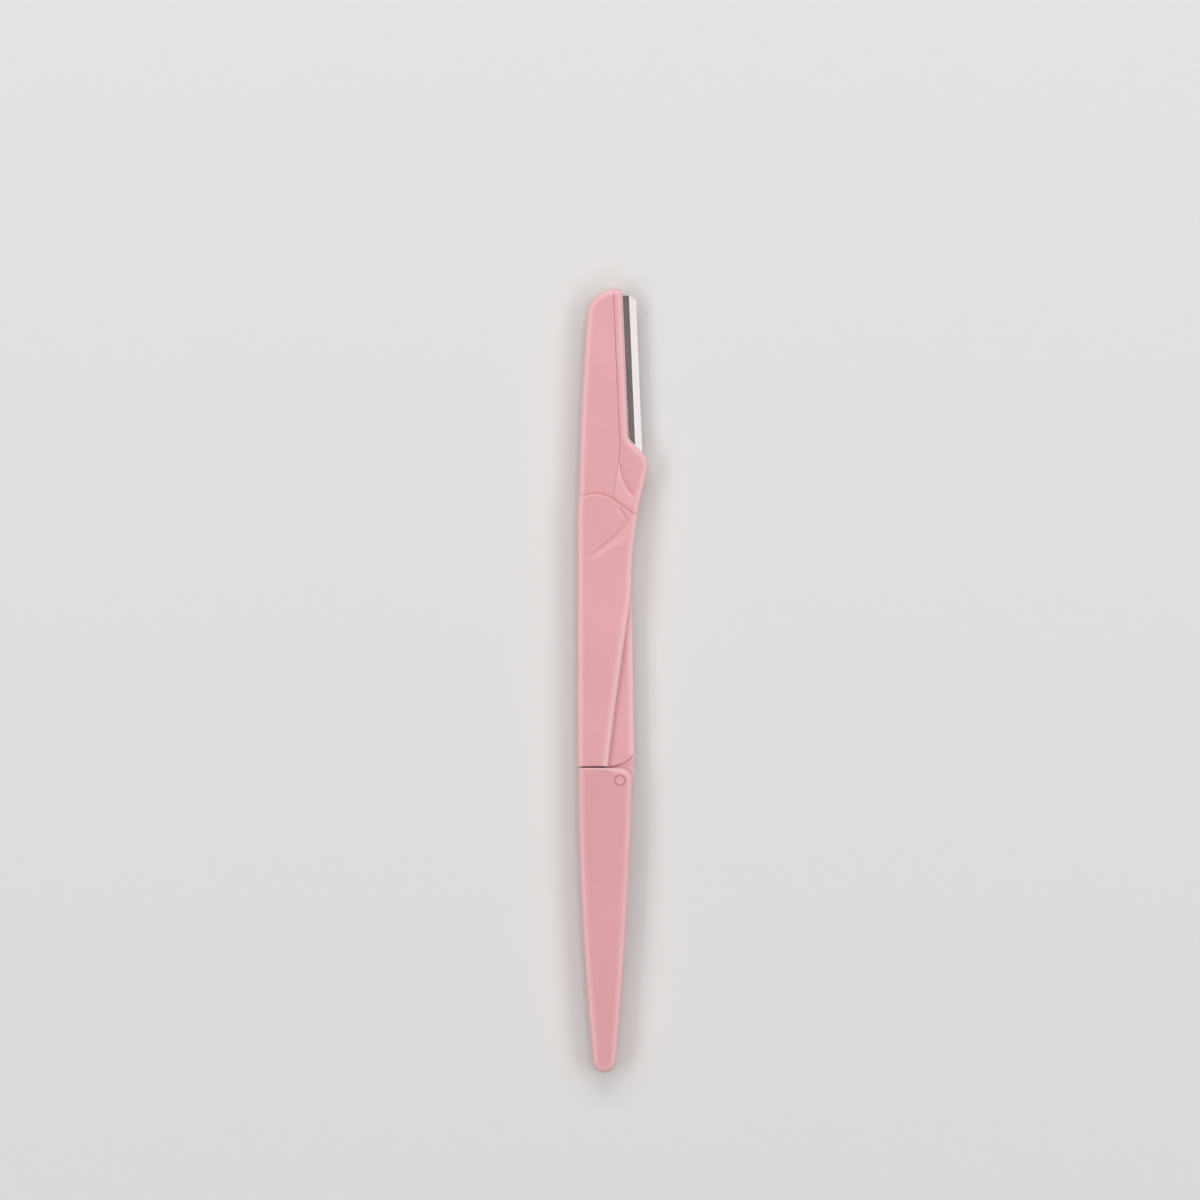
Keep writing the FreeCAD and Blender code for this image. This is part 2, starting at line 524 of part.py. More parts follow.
def make_handle(label, side):
    """Half of the folding handle: a tapering shell with a slot for the folded web and a ringed pin hole."""
    body = new_body(label)
    sketch = new_sketch(body, "shell")
    draw_outline(sketch, HANDLE_BACK_TOP, CHEEK_TOP, (CHEEK_MIDDLE, CHEEK_FRONT),
                 (HANDLE_FRONT_MIDDLE, TAIL_FRONT), (TAIL_END, TAIL_BACK),
                 (HANDLE_BACK_MIDDLE, HANDLE_BACK_TOP))
    pad(body, sketch, "shell", FACE, side)
    round_off(body, "rim", "rim_radius",
              [(*spot, f"{side} * {FACE}")
               for spot in (middle(HANDLE_BACK_TOP, CHEEK_TOP), CHEEK_MIDDLE, HANDLE_FRONT_MIDDLE, TAIL_END,
                            HANDLE_BACK_MIDDLE)])

    wall_top = swallowed(("tang_radius + slot_clearance", "0"))
    wall_end = swallowed(("neck_right + slot_clearance", "neck_height"))
    above = "cheek_radius + overrun"
    sketch = new_sketch(body, "slot")
    draw_outline(sketch, (wall_top[0], above), wall_top, wall_end, (above, wall_end[1]), (above, above),
                 (wall_top[0], above))
    pocket(body, sketch, "slot", "web_thickness / 2 + side_clearance", side)

    sketch = new_sketch(body, "pin_hole")
    draw_circle(sketch, PIVOT, "pin_radius + pin_fit")
    pocket(body, sketch, "pin_hole", "thickness", side)
    sketch = new_sketch(body, "pin_ring", f"{side} * ({FACE} - ring_depth)")
    draw_circle(sketch, PIVOT, "pin_radius + ring_width")
    pocket(body, sketch, "pin_ring", "overrun", side)

    if side > 0:
        sketch = new_sketch(body, "sockets")
        for spot in HANDLE_PEGS:
            draw_circle(sketch, spot, "peg_radius + peg_clearance")
        pocket(body, sketch, "sockets", "peg_height + peg_clearance", side)
    else:
        sketch = new_sketch(body, "pegs", "-peg_height")
        for spot in HANDLE_PEGS:
            draw_circle(sketch, spot, "peg_radius")
        pad(body, sketch, "pegs", "2 * peg_height", -side)
    return body


def make_pin():
    """Hinge pin: a plain rod with broken edges, flush with both faces."""
    body = new_body("pivot_pin")
    sketch = new_sketch(body, "rod")
    draw_circle(sketch, PIVOT, "pin_radius")
    rod = pad(body, sketch, "rod", "thickness")
    ends = body.newObject("PartDesign::Chamfer", "pivot_pin_ends")
    ends.Base = (rod, [nearest_edge(rod.Shape, ("-pin_radius", "0", f"{side} * {FACE}"))
                       for side in (1, -1)])
    bind(ends, "Size", "pin_chamfer")
    doc.recompute()
    return body


pieces = [
    make_core(),
    make_blade(),
    make_scale("front_scale", 1),
    make_scale("back_scale", -1),
    make_handle("handle_front", 1),
    make_handle("handle_back", -1),
    make_pin(),
]
doc.recompute()

for item in doc.Objects:
    if "Invalid" in item.State or "Error" in item.State:
        raise RuntimeError(f"{item.Name} failed: {item.State}")
    if item.TypeId == "Sketcher::SketchObject" and not item.FullyConstrained:
        raise RuntimeError(f"{item.Name} is loose")
for piece in pieces:
    shape = piece.Shape
    if shape.isNull() or not shape.isValid() or len(shape.Solids) != 1:
        raise RuntimeError(f"{piece.Label} is not one valid solid")

os.makedirs("parts", exist_ok=True)
for piece in pieces:
    piece.Shape.exportStep(f"parts/{piece.Label}.step")
    box = piece.Shape.BoundBox
    print(f"{piece.Label}: {piece.Shape.Volume:.1f} mm3, x {box.XMin:.2f} to {box.XMax:.2f}, "
          f"y {box.YMin:.2f} to {box.YMax:.2f}, z {box.ZMin:.2f} to {box.ZMax:.2f}")
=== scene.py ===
# %% [markdown]
# # A folding eyebrow razor
# The razor has an arm, which carries a narrow blade and a finger stop, and a tapered handle that folds
# beside the arm on a pin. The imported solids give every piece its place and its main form. This lesson
# dresses each of them with a finer skin: rounded rims, the petal relief of the grip, a ground blade and
# satin plastic.

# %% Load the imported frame
import json

import bmesh
import bpy
import numpy as np
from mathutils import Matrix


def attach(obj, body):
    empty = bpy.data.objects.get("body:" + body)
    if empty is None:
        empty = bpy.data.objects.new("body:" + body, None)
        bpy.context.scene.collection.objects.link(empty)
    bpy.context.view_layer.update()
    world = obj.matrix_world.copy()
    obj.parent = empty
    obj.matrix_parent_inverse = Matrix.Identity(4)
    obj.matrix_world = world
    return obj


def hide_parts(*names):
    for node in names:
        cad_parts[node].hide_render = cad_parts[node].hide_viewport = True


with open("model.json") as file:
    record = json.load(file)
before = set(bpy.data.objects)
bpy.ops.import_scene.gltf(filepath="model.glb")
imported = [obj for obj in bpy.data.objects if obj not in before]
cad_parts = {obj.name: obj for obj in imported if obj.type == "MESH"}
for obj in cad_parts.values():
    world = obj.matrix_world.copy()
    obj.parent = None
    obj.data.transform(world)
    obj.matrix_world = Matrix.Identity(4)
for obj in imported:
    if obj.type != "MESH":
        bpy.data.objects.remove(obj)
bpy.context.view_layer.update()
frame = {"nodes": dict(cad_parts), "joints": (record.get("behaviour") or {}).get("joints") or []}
HINGE = np.array(frame["joints"][0]["pos_m"])
MILLIMETRE = 0.001
print("hinge at", HINGE.round(5), "nodes", sorted(frame["nodes"]))

# %% [markdown]
# ## Lines and rims
# All moulded edges of the razor are arcs and straight runs in plan, rounded over towards the face.
# Bevels on a finished mesh could round them, but a bevel has one width and stumbles where edges meet.
# Here each face is a height over the plan instead: a point's distance from an outline says how far the
# rounding has dropped it. Lengths are in millimetres from the hinge: x towards the cutting edge, y
# towards the tip, z out of the front.

# %% Helpers for lines in plan
RIM_SHARES = 1 - np.cos(np.radians(np.linspace(0, 90, 10)))


def arc_points(start, through, end, count=41):
    """Points on the circle through three points: the middle lines of two chords meet at its centre, and
    the angle about that centre runs evenly from the first point past the second to the last."""
    start, through, end = np.array(start, float), np.array(through, float), np.array(end, float)
    first, last = through - start, end - start
    doubled_area = 2 * (first[0] * last[1] - first[1] * last[0])
    first_square, last_square = first @ first, last @ last
    to_centre = last[::-1] * first_square - first[::-1] * last_square
    centre = start + to_centre * np.array([1, -1]) / doubled_area
    spokes = np.stack([start, through, end]) - centre
    angles = np.unwrap(np.arctan2(spokes[:, 1], spokes[:, 0]))
    turn = np.linspace(angles[0], angles[2], count)
    return centre + np.hypot(*spokes[0]) * np.stack([np.cos(turn), np.sin(turn)], -1)


def joined(*runs):
    """One line from several runs, each of which starts where the one before it ends."""
    return np.concatenate([np.array(runs[0], float)] + [np.array(run, float)[1:] for run in runs[1:]])


def across(line, heights):
    """The x of a rising line at given heights, straight between its points."""
    return np.interp(heights, line[:, 1], line[:, 0])


def beside(points, line):
    """Distance of points from a line of short straight steps, positive on its right-hand side, and the
    share of the line's length that is passed at the nearest place."""
    steps = np.diff(line, axis=0)
    reach = np.linalg.norm(steps, axis=1)
    gaps = points[..., None, :] - line[:-1]
    shares = np.clip((gaps * steps).sum(-1) / reach ** 2, 0, 1)
    lengths = np.linalg.norm(gaps - shares[..., None] * steps, axis=-1)
    turns = gaps[..., 0] * steps[:, 1] - gaps[..., 1] * steps[:, 0]
    places = np.cumsum(reach) - reach + shares * reach
    nearest = lengths.argmin(-1)[..., None]
    tables = (lengths, turns, places)
    length, turn, place = [np.take_along_axis(table, nearest, -1)[..., 0] for table in tables]
    return np.copysign(length, turn), place / reach.sum()


def rim_drop(distance, width, height):
    """Drop of a rounded edge below its face: a quarter of an ellipse, as wide and as high as given,
    over the distance from the outline."""
    inset = 1 - np.clip(np.abs(distance) / width, 0, 1)
    return height * (1 - np.sqrt(1 - inset ** 2))


def rim_end(end, width):
    """Places that close up towards a rounded end: the end less the width times the rim shares."""
    return end - width * RIM_SHARES[::-1][1:]


def closing(count):
    """Shares above 0 that close up towards 1: the sine of an angle that runs evenly to 90 degrees."""
    return np.sin(np.radians(np.linspace(0, 90, count)))[1:]


def eased(values):
    """A share from 0 to 1 that starts and ends softly: three times its square less twice its cube."""
    share = np.clip(values, 0, 1)
    return share * share * (3 - 2 * share)


def between(first, last, share):
    """A value on the way from the first to the last: the first plus the share of their difference."""
    return first + (last - first) * share


def level_rows(x, heights):
    """A plan whose rows each lie at one height: a grid of x, with the row's height beside it."""
    return np.stack([x, np.broadcast_to(heights[:, None], x.shape)], -1)


def border_patch(bottom, top, left, right, columns, rows):
    """Points inside four border lines: between the sides, plus between the ends, less the mean of the
    corners."""
    u, v = columns[None, :, None], rows[:, None, None]
    between_sides = (1 - u) * left[:, None] + u * right[:, None]
    between_ends = (1 - v) * bottom[None] + v * top[None]
    corners = (1 - v) * ((1 - u) * bottom[0] + u * bottom[-1]) + v * ((1 - u) * top[0] + u * top[-1])
    return between_sides + between_ends - corners


print("rim steps", RIM_SHARES.round(3))

# %% [markdown]
# ## From grids to a closed piece
# A piece is a set of grids: its face, its underside and the walls between. Laid edge to edge they are
# welded into one skin, and the normals are turned outwards. A fourth number rides along with each
# point: 1 at a rim and 0 on the face. The material uses it to paint a highlight along the rounded rims,
# and on the blade it marks the bevel.

# %% Helpers for grids
WELD_GAP = 0.002
CREASE_ANGLE = np.radians(38)
# Distances from a rim in mm where the painted highlight starts to fade and where it has faded out
RIM_NEAR = 0.3
RIM_FADE = 1.8
PAINTED_HIGHLIGHT_AND_BEVEL_ATTRIBUTE = "rim"


def grid_quads(rows, columns):
    """Corner numbers of a grid's cells: a point, the next in its row, and the two above them."""
    numbers = np.arange(rows * columns).reshape(rows, columns)
    corners = [numbers[:-1, :-1], numbers[:-1, 1:], numbers[1:, 1:], numbers[1:, :-1]]
    return np.stack(corners, -1).reshape(-1, 4)


def face_grid(plan, height, rim_distance):
    """A grid of x, y, height and rim share, which weighs the painted highlight. The share is 1 near a
    rim and falls softly to 0 where it fades."""
    rim = 1 - eased((np.abs(rim_distance) - RIM_NEAR) / (RIM_FADE - RIM_NEAR))
    heights, rims = np.broadcast_to(height, plan.shape[:-1]), np.broadcast_to(rim, plan.shape[:-1])
    return np.concatenate([plan, heights[..., None], rims[..., None]], -1)


def side_wall(edge, floor, *levels, foot=0.0):
    """A wall that hangs from the edge of a face to a floor height, with a row at each level that lies
    between. Its rim share falls evenly with height, to the given part of the edge's share at the
    foot."""
    top = edge[:, 2]
    heights = [top] + [np.clip(level, np.minimum(floor, top), top) for level in levels]
    heights.append(np.broadcast_to(floor, top.shape))
    wall = np.repeat(edge[None], len(heights), axis=0)
    wall[..., 2] = heights
    rise = (wall[..., 2] - floor) / np.maximum(top - floor, WELD_GAP)
    wall[..., 3] *= foot + (1 - foot) * rise
    return wall


def mirrored(grid):
    """The same grid on the other side of the mid-plane."""
    return grid * np.array([1, 1, -1, 1])


def weld_skin(mesh):
    """Merges points that lie within the weld gap of each other, and turns all faces outwards."""
    skin = bmesh.new()
    skin.from_mesh(mesh)
    bmesh.ops.remove_doubles(skin, verts=skin.verts, dist=WELD_GAP * MILLIMETRE)
    bmesh.ops.recalc_face_normals(skin, faces=skin.faces)
    skin.to_mesh(mesh)
    skin.free()


def finish_skin(mesh, name, crease):
    """Smooth shading with creases at the corners, and a count of edges that don't join exactly two
    faces."""
    mesh.shade_smooth()
    mesh.set_sharp_from_angle(angle=crease)
    edge_of_corner = np.empty(len(mesh.loops), np.int32)
    mesh.loops.foreach_get("edge_index", edge_of_corner)
    loose = np.count_nonzero(np.bincount(edge_of_corner, minlength=len(mesh.edges)) != 2)
    print(name, len(mesh.polygons), "faces,", loose, "open edges")


def weld_grids(name, grids, crease=CREASE_ANGLE):
    """A piece from grids of x, y, z and rim share: all their cells, welded where borders meet, facing
    outwards."""
    points = np.concatenate([grid.reshape(-1, 4) for grid in grids])
    sizes = [grid.shape[0] * grid.shape[1] for grid in grids]
    firsts = np.cumsum([0] + sizes[:-1])
    quads = np.concatenate([first + grid_quads(*grid.shape[:2]) for first, grid in zip(firsts, grids)])
    mesh = bpy.data.meshes.new(name)
    mesh.from_pydata((points[:, :3] * MILLIMETRE + HINGE).tolist(), [], quads.tolist())
    mesh.attributes.new(PAINTED_HIGHLIGHT_AND_BEVEL_ATTRIBUTE, "FLOAT", "POINT").data.foreach_set("value", points[:, 3])
    weld_skin(mesh)
    finish_skin(mesh, name, crease)
    piece = bpy.data.objects.new(name, mesh)
    bpy.context.scene.collection.objects.link(piece)
    return piece


print("weld gap", WELD_GAP, "mm, creases from", np.degrees(CREASE_ANGLE).round(), "degrees")

# %% [markdown]
# ## The outline of the arm
# The arm's plan is the same as that of the solids: a straight back that leans in at the shoulder, a
# head whose side bows gently to a cut-off corner, and a seam that parts the head panel from the strip
# with the blade. The recess beside the grip is bounded by the handle's own front edge, turned about the
# hinge to where it lies when folded. A traced curve object could hold these lines. As points on arcs
# they also give every distance needed.

# %% Outline of the arm
HINGE_LINE = 3.0
BACK_LOW = (-8.95, HINGE_LINE)
LEAN_LOW = (-8.95, 57.6)
SHOULDER = (-8.67, 59.2)
CREST = (-4.7, 60.2)
SEAM_LOW = (-1.4, 59.1)
SEAM_KNEE = (0.0, 69.5)
SEAM_TOP = (-1.4, 103.3)
THROAT = (3.75, 55.4)
NECK = (2.52, 43.0)
HEEL = (3.05, 5.8)
HEAD_CORNER = (-6.95, 97.0)
HEAD_SIDE = arc_points(SHOULDER, (-8.12, 78.1), HEAD_CORNER)
HEAD_RUN = joined(HEAD_SIDE, arc_points(HEAD_CORNER, (-5.396, 101.41), SEAM_TOP))
BACK_EDGE = np.array([BACK_LOW, LEAN_LOW, SHOULDER])
GRIP_CREST = arc_points(SHOULDER, CREST, SEAM_LOW)
GRIP_TOP = joined(GRIP_CREST, [SEAM_LOW, THROAT])
SEAM = joined(arc_points(SEAM_LOW, (-0.72, 64.3), SEAM_KNEE), [SEAM_KNEE, SEAM_TOP])
FRONT_EDGE = joined([HEEL, NECK], arc_points(NECK, (2.935, 49.2), THROAT))
RECESS_WALL = arc_points((-2.84, 0.235), (0.968, 29.414), (5.672, 58.515))
recess_depth = np.abs(across(FRONT_EDGE, RECESS_WALL[:, 1]) - RECESS_WALL[:, 0])
recess_top = RECESS_WALL[np.argmin(recess_depth), 1]
print("head run", len(HEAD_RUN), "points, recess meets the front edge near y", recess_top.round(1))

# %% [markdown]
# ## The grip's relief
# An arrow-shaped groove on the grip reads as one petal lying over another: its inner side falls quickly
# and its outer side rises again in a longer ramp. A sculpted brush stroke could make it. A depth that
# depends on the distance from one line keeps the profile even, widens it below the arrow's tip and lets
# it fade at the ends.

# %% Lines and widths of the petal groove
ARROW_LOW = arc_points((0.65, 53.7), (-2.825, 50.35), (-7.3, 47.0), 21)
ARROW_LINE = joined([(-1.1, 57.8), (1.05, 54.8), (0.65, 53.7)], ARROW_LOW)
# Depth and width of the fall above and below the tip, and the ramp above it, below it and at its end
ARROW_DEPTH = (0.42, 0.3)
ARROW_FALL = (0.4, 0.75)
ARROW_RAMP = (0.6, 1.6, 1.1)
ARROW_LEAD = 0.25
# Shares of the line where the tip is passed and where the taper and the low end start, with their runs
ARROW_TIP = (0.25, 0.1)
ARROW_TAPER = (0.38, 0.4)
ARROW_END = (0.8, 0.25)
ARROW_START_RUN = 0.15
LIP_START_RUN = 0.05
# The lip's painted highlight: how far out it lies, how faint along the line, how fast it fades each side
LIP_LINE = (1.9, 1.25)
LIP_PLACES = (0.38, 0.58, 0.78)
LIP_FAINTS = (1.1, 0.9, 1.3)
LIP_OUTER_FADE = (0.3, 0.9)
LIP_INNER_FADE = 1.2
UPPER_LIP_FAINT = 0.8
UPPER_LIP_FADE = 2.0
print("groove runs over", np.linalg.norm(np.diff(ARROW_LINE, axis=0), axis=1).sum().round(1), "mm")


# %% Petal groove of the grip
def arrow_relief(plan):
    """Depth of the groove: eased down from the inner line and eased up again on its outer side,
    shallower and wider below the arrow's tip than above it, then narrower again, and faded at both ends
    of the line. Also the distance that sets the painted highlight of its lip: on the line above the tip,
    on the ramp below it."""
    inside, passed = beside(plan, ARROW_LINE)
    outside = -inside
    low = eased((passed - ARROW_TIP[0]) / ARROW_TIP[1])
    taper = eased((passed - ARROW_TAPER[0]) / ARROW_TAPER[1])
    last_end = 1 - eased((passed - ARROW_END[0]) / ARROW_END[1])
    fall_width = between(*ARROW_FALL, low)
    ramp_width = between(ARROW_RAMP[0], between(*ARROW_RAMP[1:], taper), low)
    fall = eased(outside / fall_width + ARROW_LEAD)
    rise = 1 - eased((outside - (1 - ARROW_LEAD) * fall_width) / ramp_width)
    depth = between(*ARROW_DEPTH, low) * fall * rise * (eased(passed / ARROW_START_RUN) * last_end)
    past_ramp = outside - between(*LIP_LINE, taper)
    lip_fade = np.where(past_ramp > 0, between(*LIP_OUTER_FADE, taper), -LIP_INNER_FADE)
    low_lip = np.interp(passed, LIP_PLACES, LIP_FAINTS) + past_ramp * lip_fade
    upper_lip = UPPER_LIP_FAINT + np.abs(outside) * UPPER_LIP_FADE
    lip_ends = eased(passed / LIP_START_RUN) * last_end
    return depth, between(upper_lip, low_lip, low) + RIM_FADE * (1 - lip_ends)


print("groove on its own line is", arrow_relief(ARROW_LINE)[0].max().round(2), "mm deep")

# %% [markdown]
# ## The two scales of the casing
# Each scale is one moulding: the raised grip below, the lower head panel above, and a curved step
# between them. It could be cut from a block, but then every rim would need a bevel. Here the grip is a
# grid between four border lines, and the panel's grid starts on the same step and closes to a point at
# the tip. Underneath lies the seat that takes the core. The two scales stop just short of the
# mid-plane, which leaves the hair line that shows round the edge of such a casing.

# %% Heights of a scale
FACE_HEIGHT = 2.5
PANEL_HEIGHT = 2.0
SEAT_HEIGHT = 1.25
PARTING_HALF = 0.03
# Width and height of each rounded rim
OUTER_RIM = (1.5, 1.0)
FRONT_RIM = (1.5, 0.65)
STEP_RIM = (0.5, 0.4)
HINGE_LINE_RIM = (0.3, 0.3)
SEAM_CHAMFER = 0.12
SEAM_LOW_SHARE = 0.35
SEAM_DEEPENING = 9.0
SEAT_LEFT = -5.35
SEAT_BEND = 94.3
SEAT_TIP = 102.35
SEAT_SLOPE = 0.1
CORE_LEAN = 1.97


def seam_drop(distance, heights):
    """Chamfer along the seam: it falls straight to the seam, and is shallower where that runs into the
    stop."""
    depth = SEAM_CHAMFER * between(SEAM_LOW_SHARE, 1, eased((heights - SEAM_LOW[1]) / SEAM_DEEPENING))
    return depth * np.clip(1 - np.abs(distance) / SEAM_CHAMFER, 0, 1)


def seat_height(plan):
    """Underside of a scale: near the mid-plane, and up a short slope to the seat right of the core's
    left edge and below the core's tip."""
    x, y = plan[..., 0], plan[..., 1]
    left = np.interp(y, [SEAT_BEND, SEAT_TIP], [SEAT_LEFT, SEAT_LEFT + CORE_LEAN])
    inside = np.clip((x - left) / SEAT_SLOPE + 1, 0, 1) * np.clip((SEAT_TIP - y) / SEAT_SLOPE + 1, 0, 1)
    return between(PARTING_HALF, SEAT_HEIGHT, inside)


print("face", FACE_HEIGHT, "panel", PANEL_HEIGHT, "seat", SEAT_HEIGHT, "mm above the mid-plane")

# %% Columns and rows of the grip
BACK_RIM_SHARE = 0.105
FRONT_RIM_SHARE = 0.09
SEAM_COLUMNS = np.array([-0.012, -0.004, 0.0])
SEAM_MARGIN = 0.03
RELIEF_ROW = 0.755
NEARLY_NONE = 1e-9
grip_rise, throat_rise = SHOULDER[1] - HINGE_LINE, THROAT[1] - HINGE_LINE
seam_share = (SEAM_LOW[0] - SHOULDER[0]) / (THROAT[0] - SHOULDER[0])
grip_columns = np.concatenate([
    BACK_RIM_SHARE * RIM_SHARES,
    np.linspace(BACK_RIM_SHARE, seam_share - SEAM_MARGIN, 40)[1:],
    seam_share + SEAM_COLUMNS,
    np.linspace(seam_share, 1 - FRONT_RIM_SHARE, 30)[1:],
    rim_end(1, FRONT_RIM_SHARE),
])
panel_columns = np.count_nonzero(grip_columns <= seam_share + NEARLY_NONE)
low_rim_share, step_rim_share = HINGE_LINE_RIM[0] / grip_rise, STEP_RIM[0] / grip_rise
grip_rows = np.concatenate([
    low_rim_share * RIM_SHARES,
    np.linspace(low_rim_share, RELIEF_ROW, 84)[1:],
    np.linspace(RELIEF_ROW, 1 - step_rim_share, 130)[1:],
    rim_end(1, step_rim_share),
])
print("grip has", len(grip_columns), "columns,", panel_columns, "of them under the panel")

# %% Grip of a scale
STEP_FAINT = 8
FRONT_SKIP = 4
left_heights, right_heights = HINGE_LINE + grip_rise * grip_rows, HINGE_LINE + throat_rise * grip_rows
grip_left = np.stack([across(BACK_EDGE, left_heights), left_heights], -1)
right_x = np.minimum(across(RECESS_WALL, right_heights), across(FRONT_EDGE, right_heights))
grip_right = np.stack([right_x, right_heights], -1)
grip_bottom = (1 - grip_columns)[:, None] * grip_left[0] + grip_columns[:, None] * grip_right[0]
top_x = SHOULDER[0] + grip_columns * (THROAT[0] - SHOULDER[0])
grip_top = np.stack([top_x, np.interp(top_x, GRIP_TOP[:, 0], GRIP_TOP[:, 1])], -1)
grip_plan = border_patch(grip_bottom, grip_top, grip_left, grip_right, grip_columns, grip_rows)
to_back = beside(grip_plan, BACK_EDGE)[0]
to_front = beside(grip_plan, grip_right[::FRONT_SKIP])[0]
to_step = beside(grip_plan, GRIP_TOP)[0]
grip_drop = np.maximum.reduce([
    rim_drop(to_back, *OUTER_RIM),
    rim_drop(to_front, *FRONT_RIM),
    rim_drop(to_step, *STEP_RIM),
    rim_drop(grip_plan[..., 1] - HINGE_LINE, *HINGE_LINE_RIM),
])
groove_depth, to_lip = arrow_relief(grip_plan)
grip_height = FACE_HEIGHT - np.maximum(grip_drop, groove_depth)
grip_rims = np.minimum.reduce([np.abs(to_back), np.abs(to_front), STEP_FAINT * np.abs(to_step), to_lip])
grip_face = face_grid(grip_plan, grip_height, grip_rims)
print("grip grid", grip_face.shape, "lowest", grip_height.min().round(2))

# %% Head panel of a scale
PANEL_SINK = 0.2
PANEL_SINK_RUN = 0.9
PANEL_CLOSING = 96.5
STEP_FADE = 3.0
panel_shares = grip_columns[:panel_columns] / seam_share
panel_levels = np.concatenate([
    CREST[1] + PANEL_SINK_RUN * np.linspace(0, 1, 8),
    np.linspace(CREST[1] + PANEL_SINK_RUN, PANEL_CLOSING, 46)[1:],
    PANEL_CLOSING + (SEAM_TOP[1] - PANEL_CLOSING) * closing(46),
])
step_fall = (CREST[1] - grip_top[:panel_columns, 1])[None]
step_fade = (1 - eased((panel_levels - CREST[1]) / STEP_FADE))[:, None]
panel_y = panel_levels[:, None] - step_fall * step_fade
panel_x = (1 - panel_shares) * across(HEAD_RUN, panel_y) + panel_shares * across(SEAM, panel_y)
panel_x = panel_x + step_fade * (top_x[:panel_columns] - panel_x[0])
panel_plan = np.stack([panel_x, panel_y], -1)
to_side = beside(panel_plan, HEAD_RUN)[0]
to_seam = beside(panel_plan, SEAM)[0]
panel_drop = np.maximum.reduce([
    rim_drop(to_side, *OUTER_RIM),
    seam_drop(to_seam, panel_y),
    PANEL_SINK * np.clip(1 - np.abs(beside(panel_plan, GRIP_CREST)[0]) / PANEL_SINK_RUN, 0, 1),
])
panel_face = face_grid(panel_plan, PANEL_HEIGHT - panel_drop, to_side)
print("panel grid", panel_face.shape, "lowest", panel_face[..., 2].min().round(2))


# %% Close the scales
def scale_grids():
    """Grids of the front scale: the two faces, the undersides on the same plan, and a wall along each
    border."""
    grip_under = face_grid(grip_plan, seat_height(grip_plan), RIM_FADE)
    panel_under = face_grid(panel_plan, seat_height(panel_plan), RIM_FADE)
    panel_rim = PANEL_HEIGHT - OUTER_RIM[1]
    seam_rim = PANEL_HEIGHT - PANEL_SINK
    grip_borders = [grip_face[:, 0], grip_face[0], grip_face[:, -1], grip_face[-1, panel_columns - 1:]]
    borders = grip_borders + [panel_face[:, 0], panel_face[:, -1]]
    walls = [side_wall(edge, seat_height(edge[:, :2]), seam_rim, panel_rim) for edge in borders]
    step = np.stack([grip_face[-1, :panel_columns], panel_face[0]])
    return [grip_face, grip_under, panel_face, panel_under, step] + walls


front_scale_skin = weld_grids("front_scale_skin", scale_grids())
back_scale_skin = weld_grids("back_scale_skin", [mirrored(grid) for grid in scale_grids()])

# %% [markdown]
# ## The core: strip and finger stop
# Between the two scales lies the core. It shows as the narrow strip beside the seam, which holds the
# blade, and swells into the finger stop. On the stop a crescent hollow lifts one petal off another. A
# displaced plane could show that, but its rows would cut across the curved outline. Here each row runs
# from the seam to the right-hand contour, and the lowest row lies on the slanting end of the grip.

# %% Crescent of the finger stop
CRESCENT_LINE = arc_points((0.05, 67.3), (0.65, 63.0), (3.5, 59.2), 31)
CRESCENT_DEPTH = 0.58
CRESCENT_STEEP = 0.28
CRESCENT_RAMP = 0.92
CRESCENT_END = 0.5
PETAL_FALL = 0.12
PETAL_RUN = 1.3
# Painted highlight along the petal's edge: its distances, its spread inwards, and a paler band by height
PETAL_FAINT = 0.85
PETAL_SPREAD = 0.35
PETAL_PALE = 1.3
PALE_HEIGHTS = (50.0, 52.0, 62.0, 66.0)
PALE_DISTANCES = (RIM_FADE, PETAL_PALE, PETAL_PALE, RIM_FADE)


def crescent_relief(plan):
    """Depth beside the petal: its edge rounds down to the line, a steep fall follows on the outer side,
    and a ramp leads back up to the face. All of it fades at the two points of the crescent. Also the
    distance that sets the painted highlight on the petal's edge, which spreads faintly over the petal's
    lower part."""
    inside, passed = beside(plan, CRESCENT_LINE)
    outside = -inside
    petal = PETAL_FALL * np.clip(1 - inside / PETAL_RUN, 0, 1) ** 2
    hollow = between(PETAL_FALL, CRESCENT_DEPTH, eased(outside / CRESCENT_STEEP))
    hollow = hollow * (1 - np.clip((outside - CRESCENT_STEEP) / CRESCENT_RAMP, 0, 1))
    ends = eased(np.sin(np.pi * passed) / CRESCENT_END)
    to_edge = PETAL_FAINT + PETAL_SPREAD * inside + RIM_FADE * (1 - ends)
    to_pale = np.interp(plan[..., 1], PALE_HEIGHTS, PALE_DISTANCES)
    to_petal = np.where(inside > 0, np.minimum(to_edge, to_pale), RIM_FADE)
    return np.where(inside > 0, petal, hollow) * ends, to_petal


print("crescent from", CRESCENT_LINE[0], "to", CRESCENT_LINE[-1])

# %% Plan of the strip and the stop
STRIP_GAP = 0.05
STOP_RIM = (1.25, 0.95)
STRIP_SEAM_SHARES = (0, 0.02, 0.06)
STRIP_FLAT_SHARE = 0.08
STRIP_RIM_SHARE = 0.2
STOP_LEVEL, STOP_STEP = 73.0, 0.1
STRIP_LEVEL, STRIP_STEP = 101.0, 0.7
SLANT_FADE = 11.0
SLANT_SHIFT_FADE = 4.0
STOP_CONTOUR = joined(
    arc_points(THROAT, (4.806, 60.47), (5.994, 65.514)),
    arc_points((5.994, 65.514), (6.085, 66.3), (5.138, 68.598), 15),
    arc_points((2.547, 71.19), (1.97, 71.97), (1.79, 72.92), 15),
    [(1.79, 72.92), (0.554, 102.7)],
    arc_points((0.554, 102.7), (0.36, 103.13), (-0.05, SEAM_TOP[1]), 9),
)
strip_columns = np.concatenate([
    STRIP_SEAM_SHARES,
    np.linspace(STRIP_FLAT_SHARE, 1 - STRIP_RIM_SHARE, 34),
    rim_end(1, STRIP_RIM_SHARE),
])
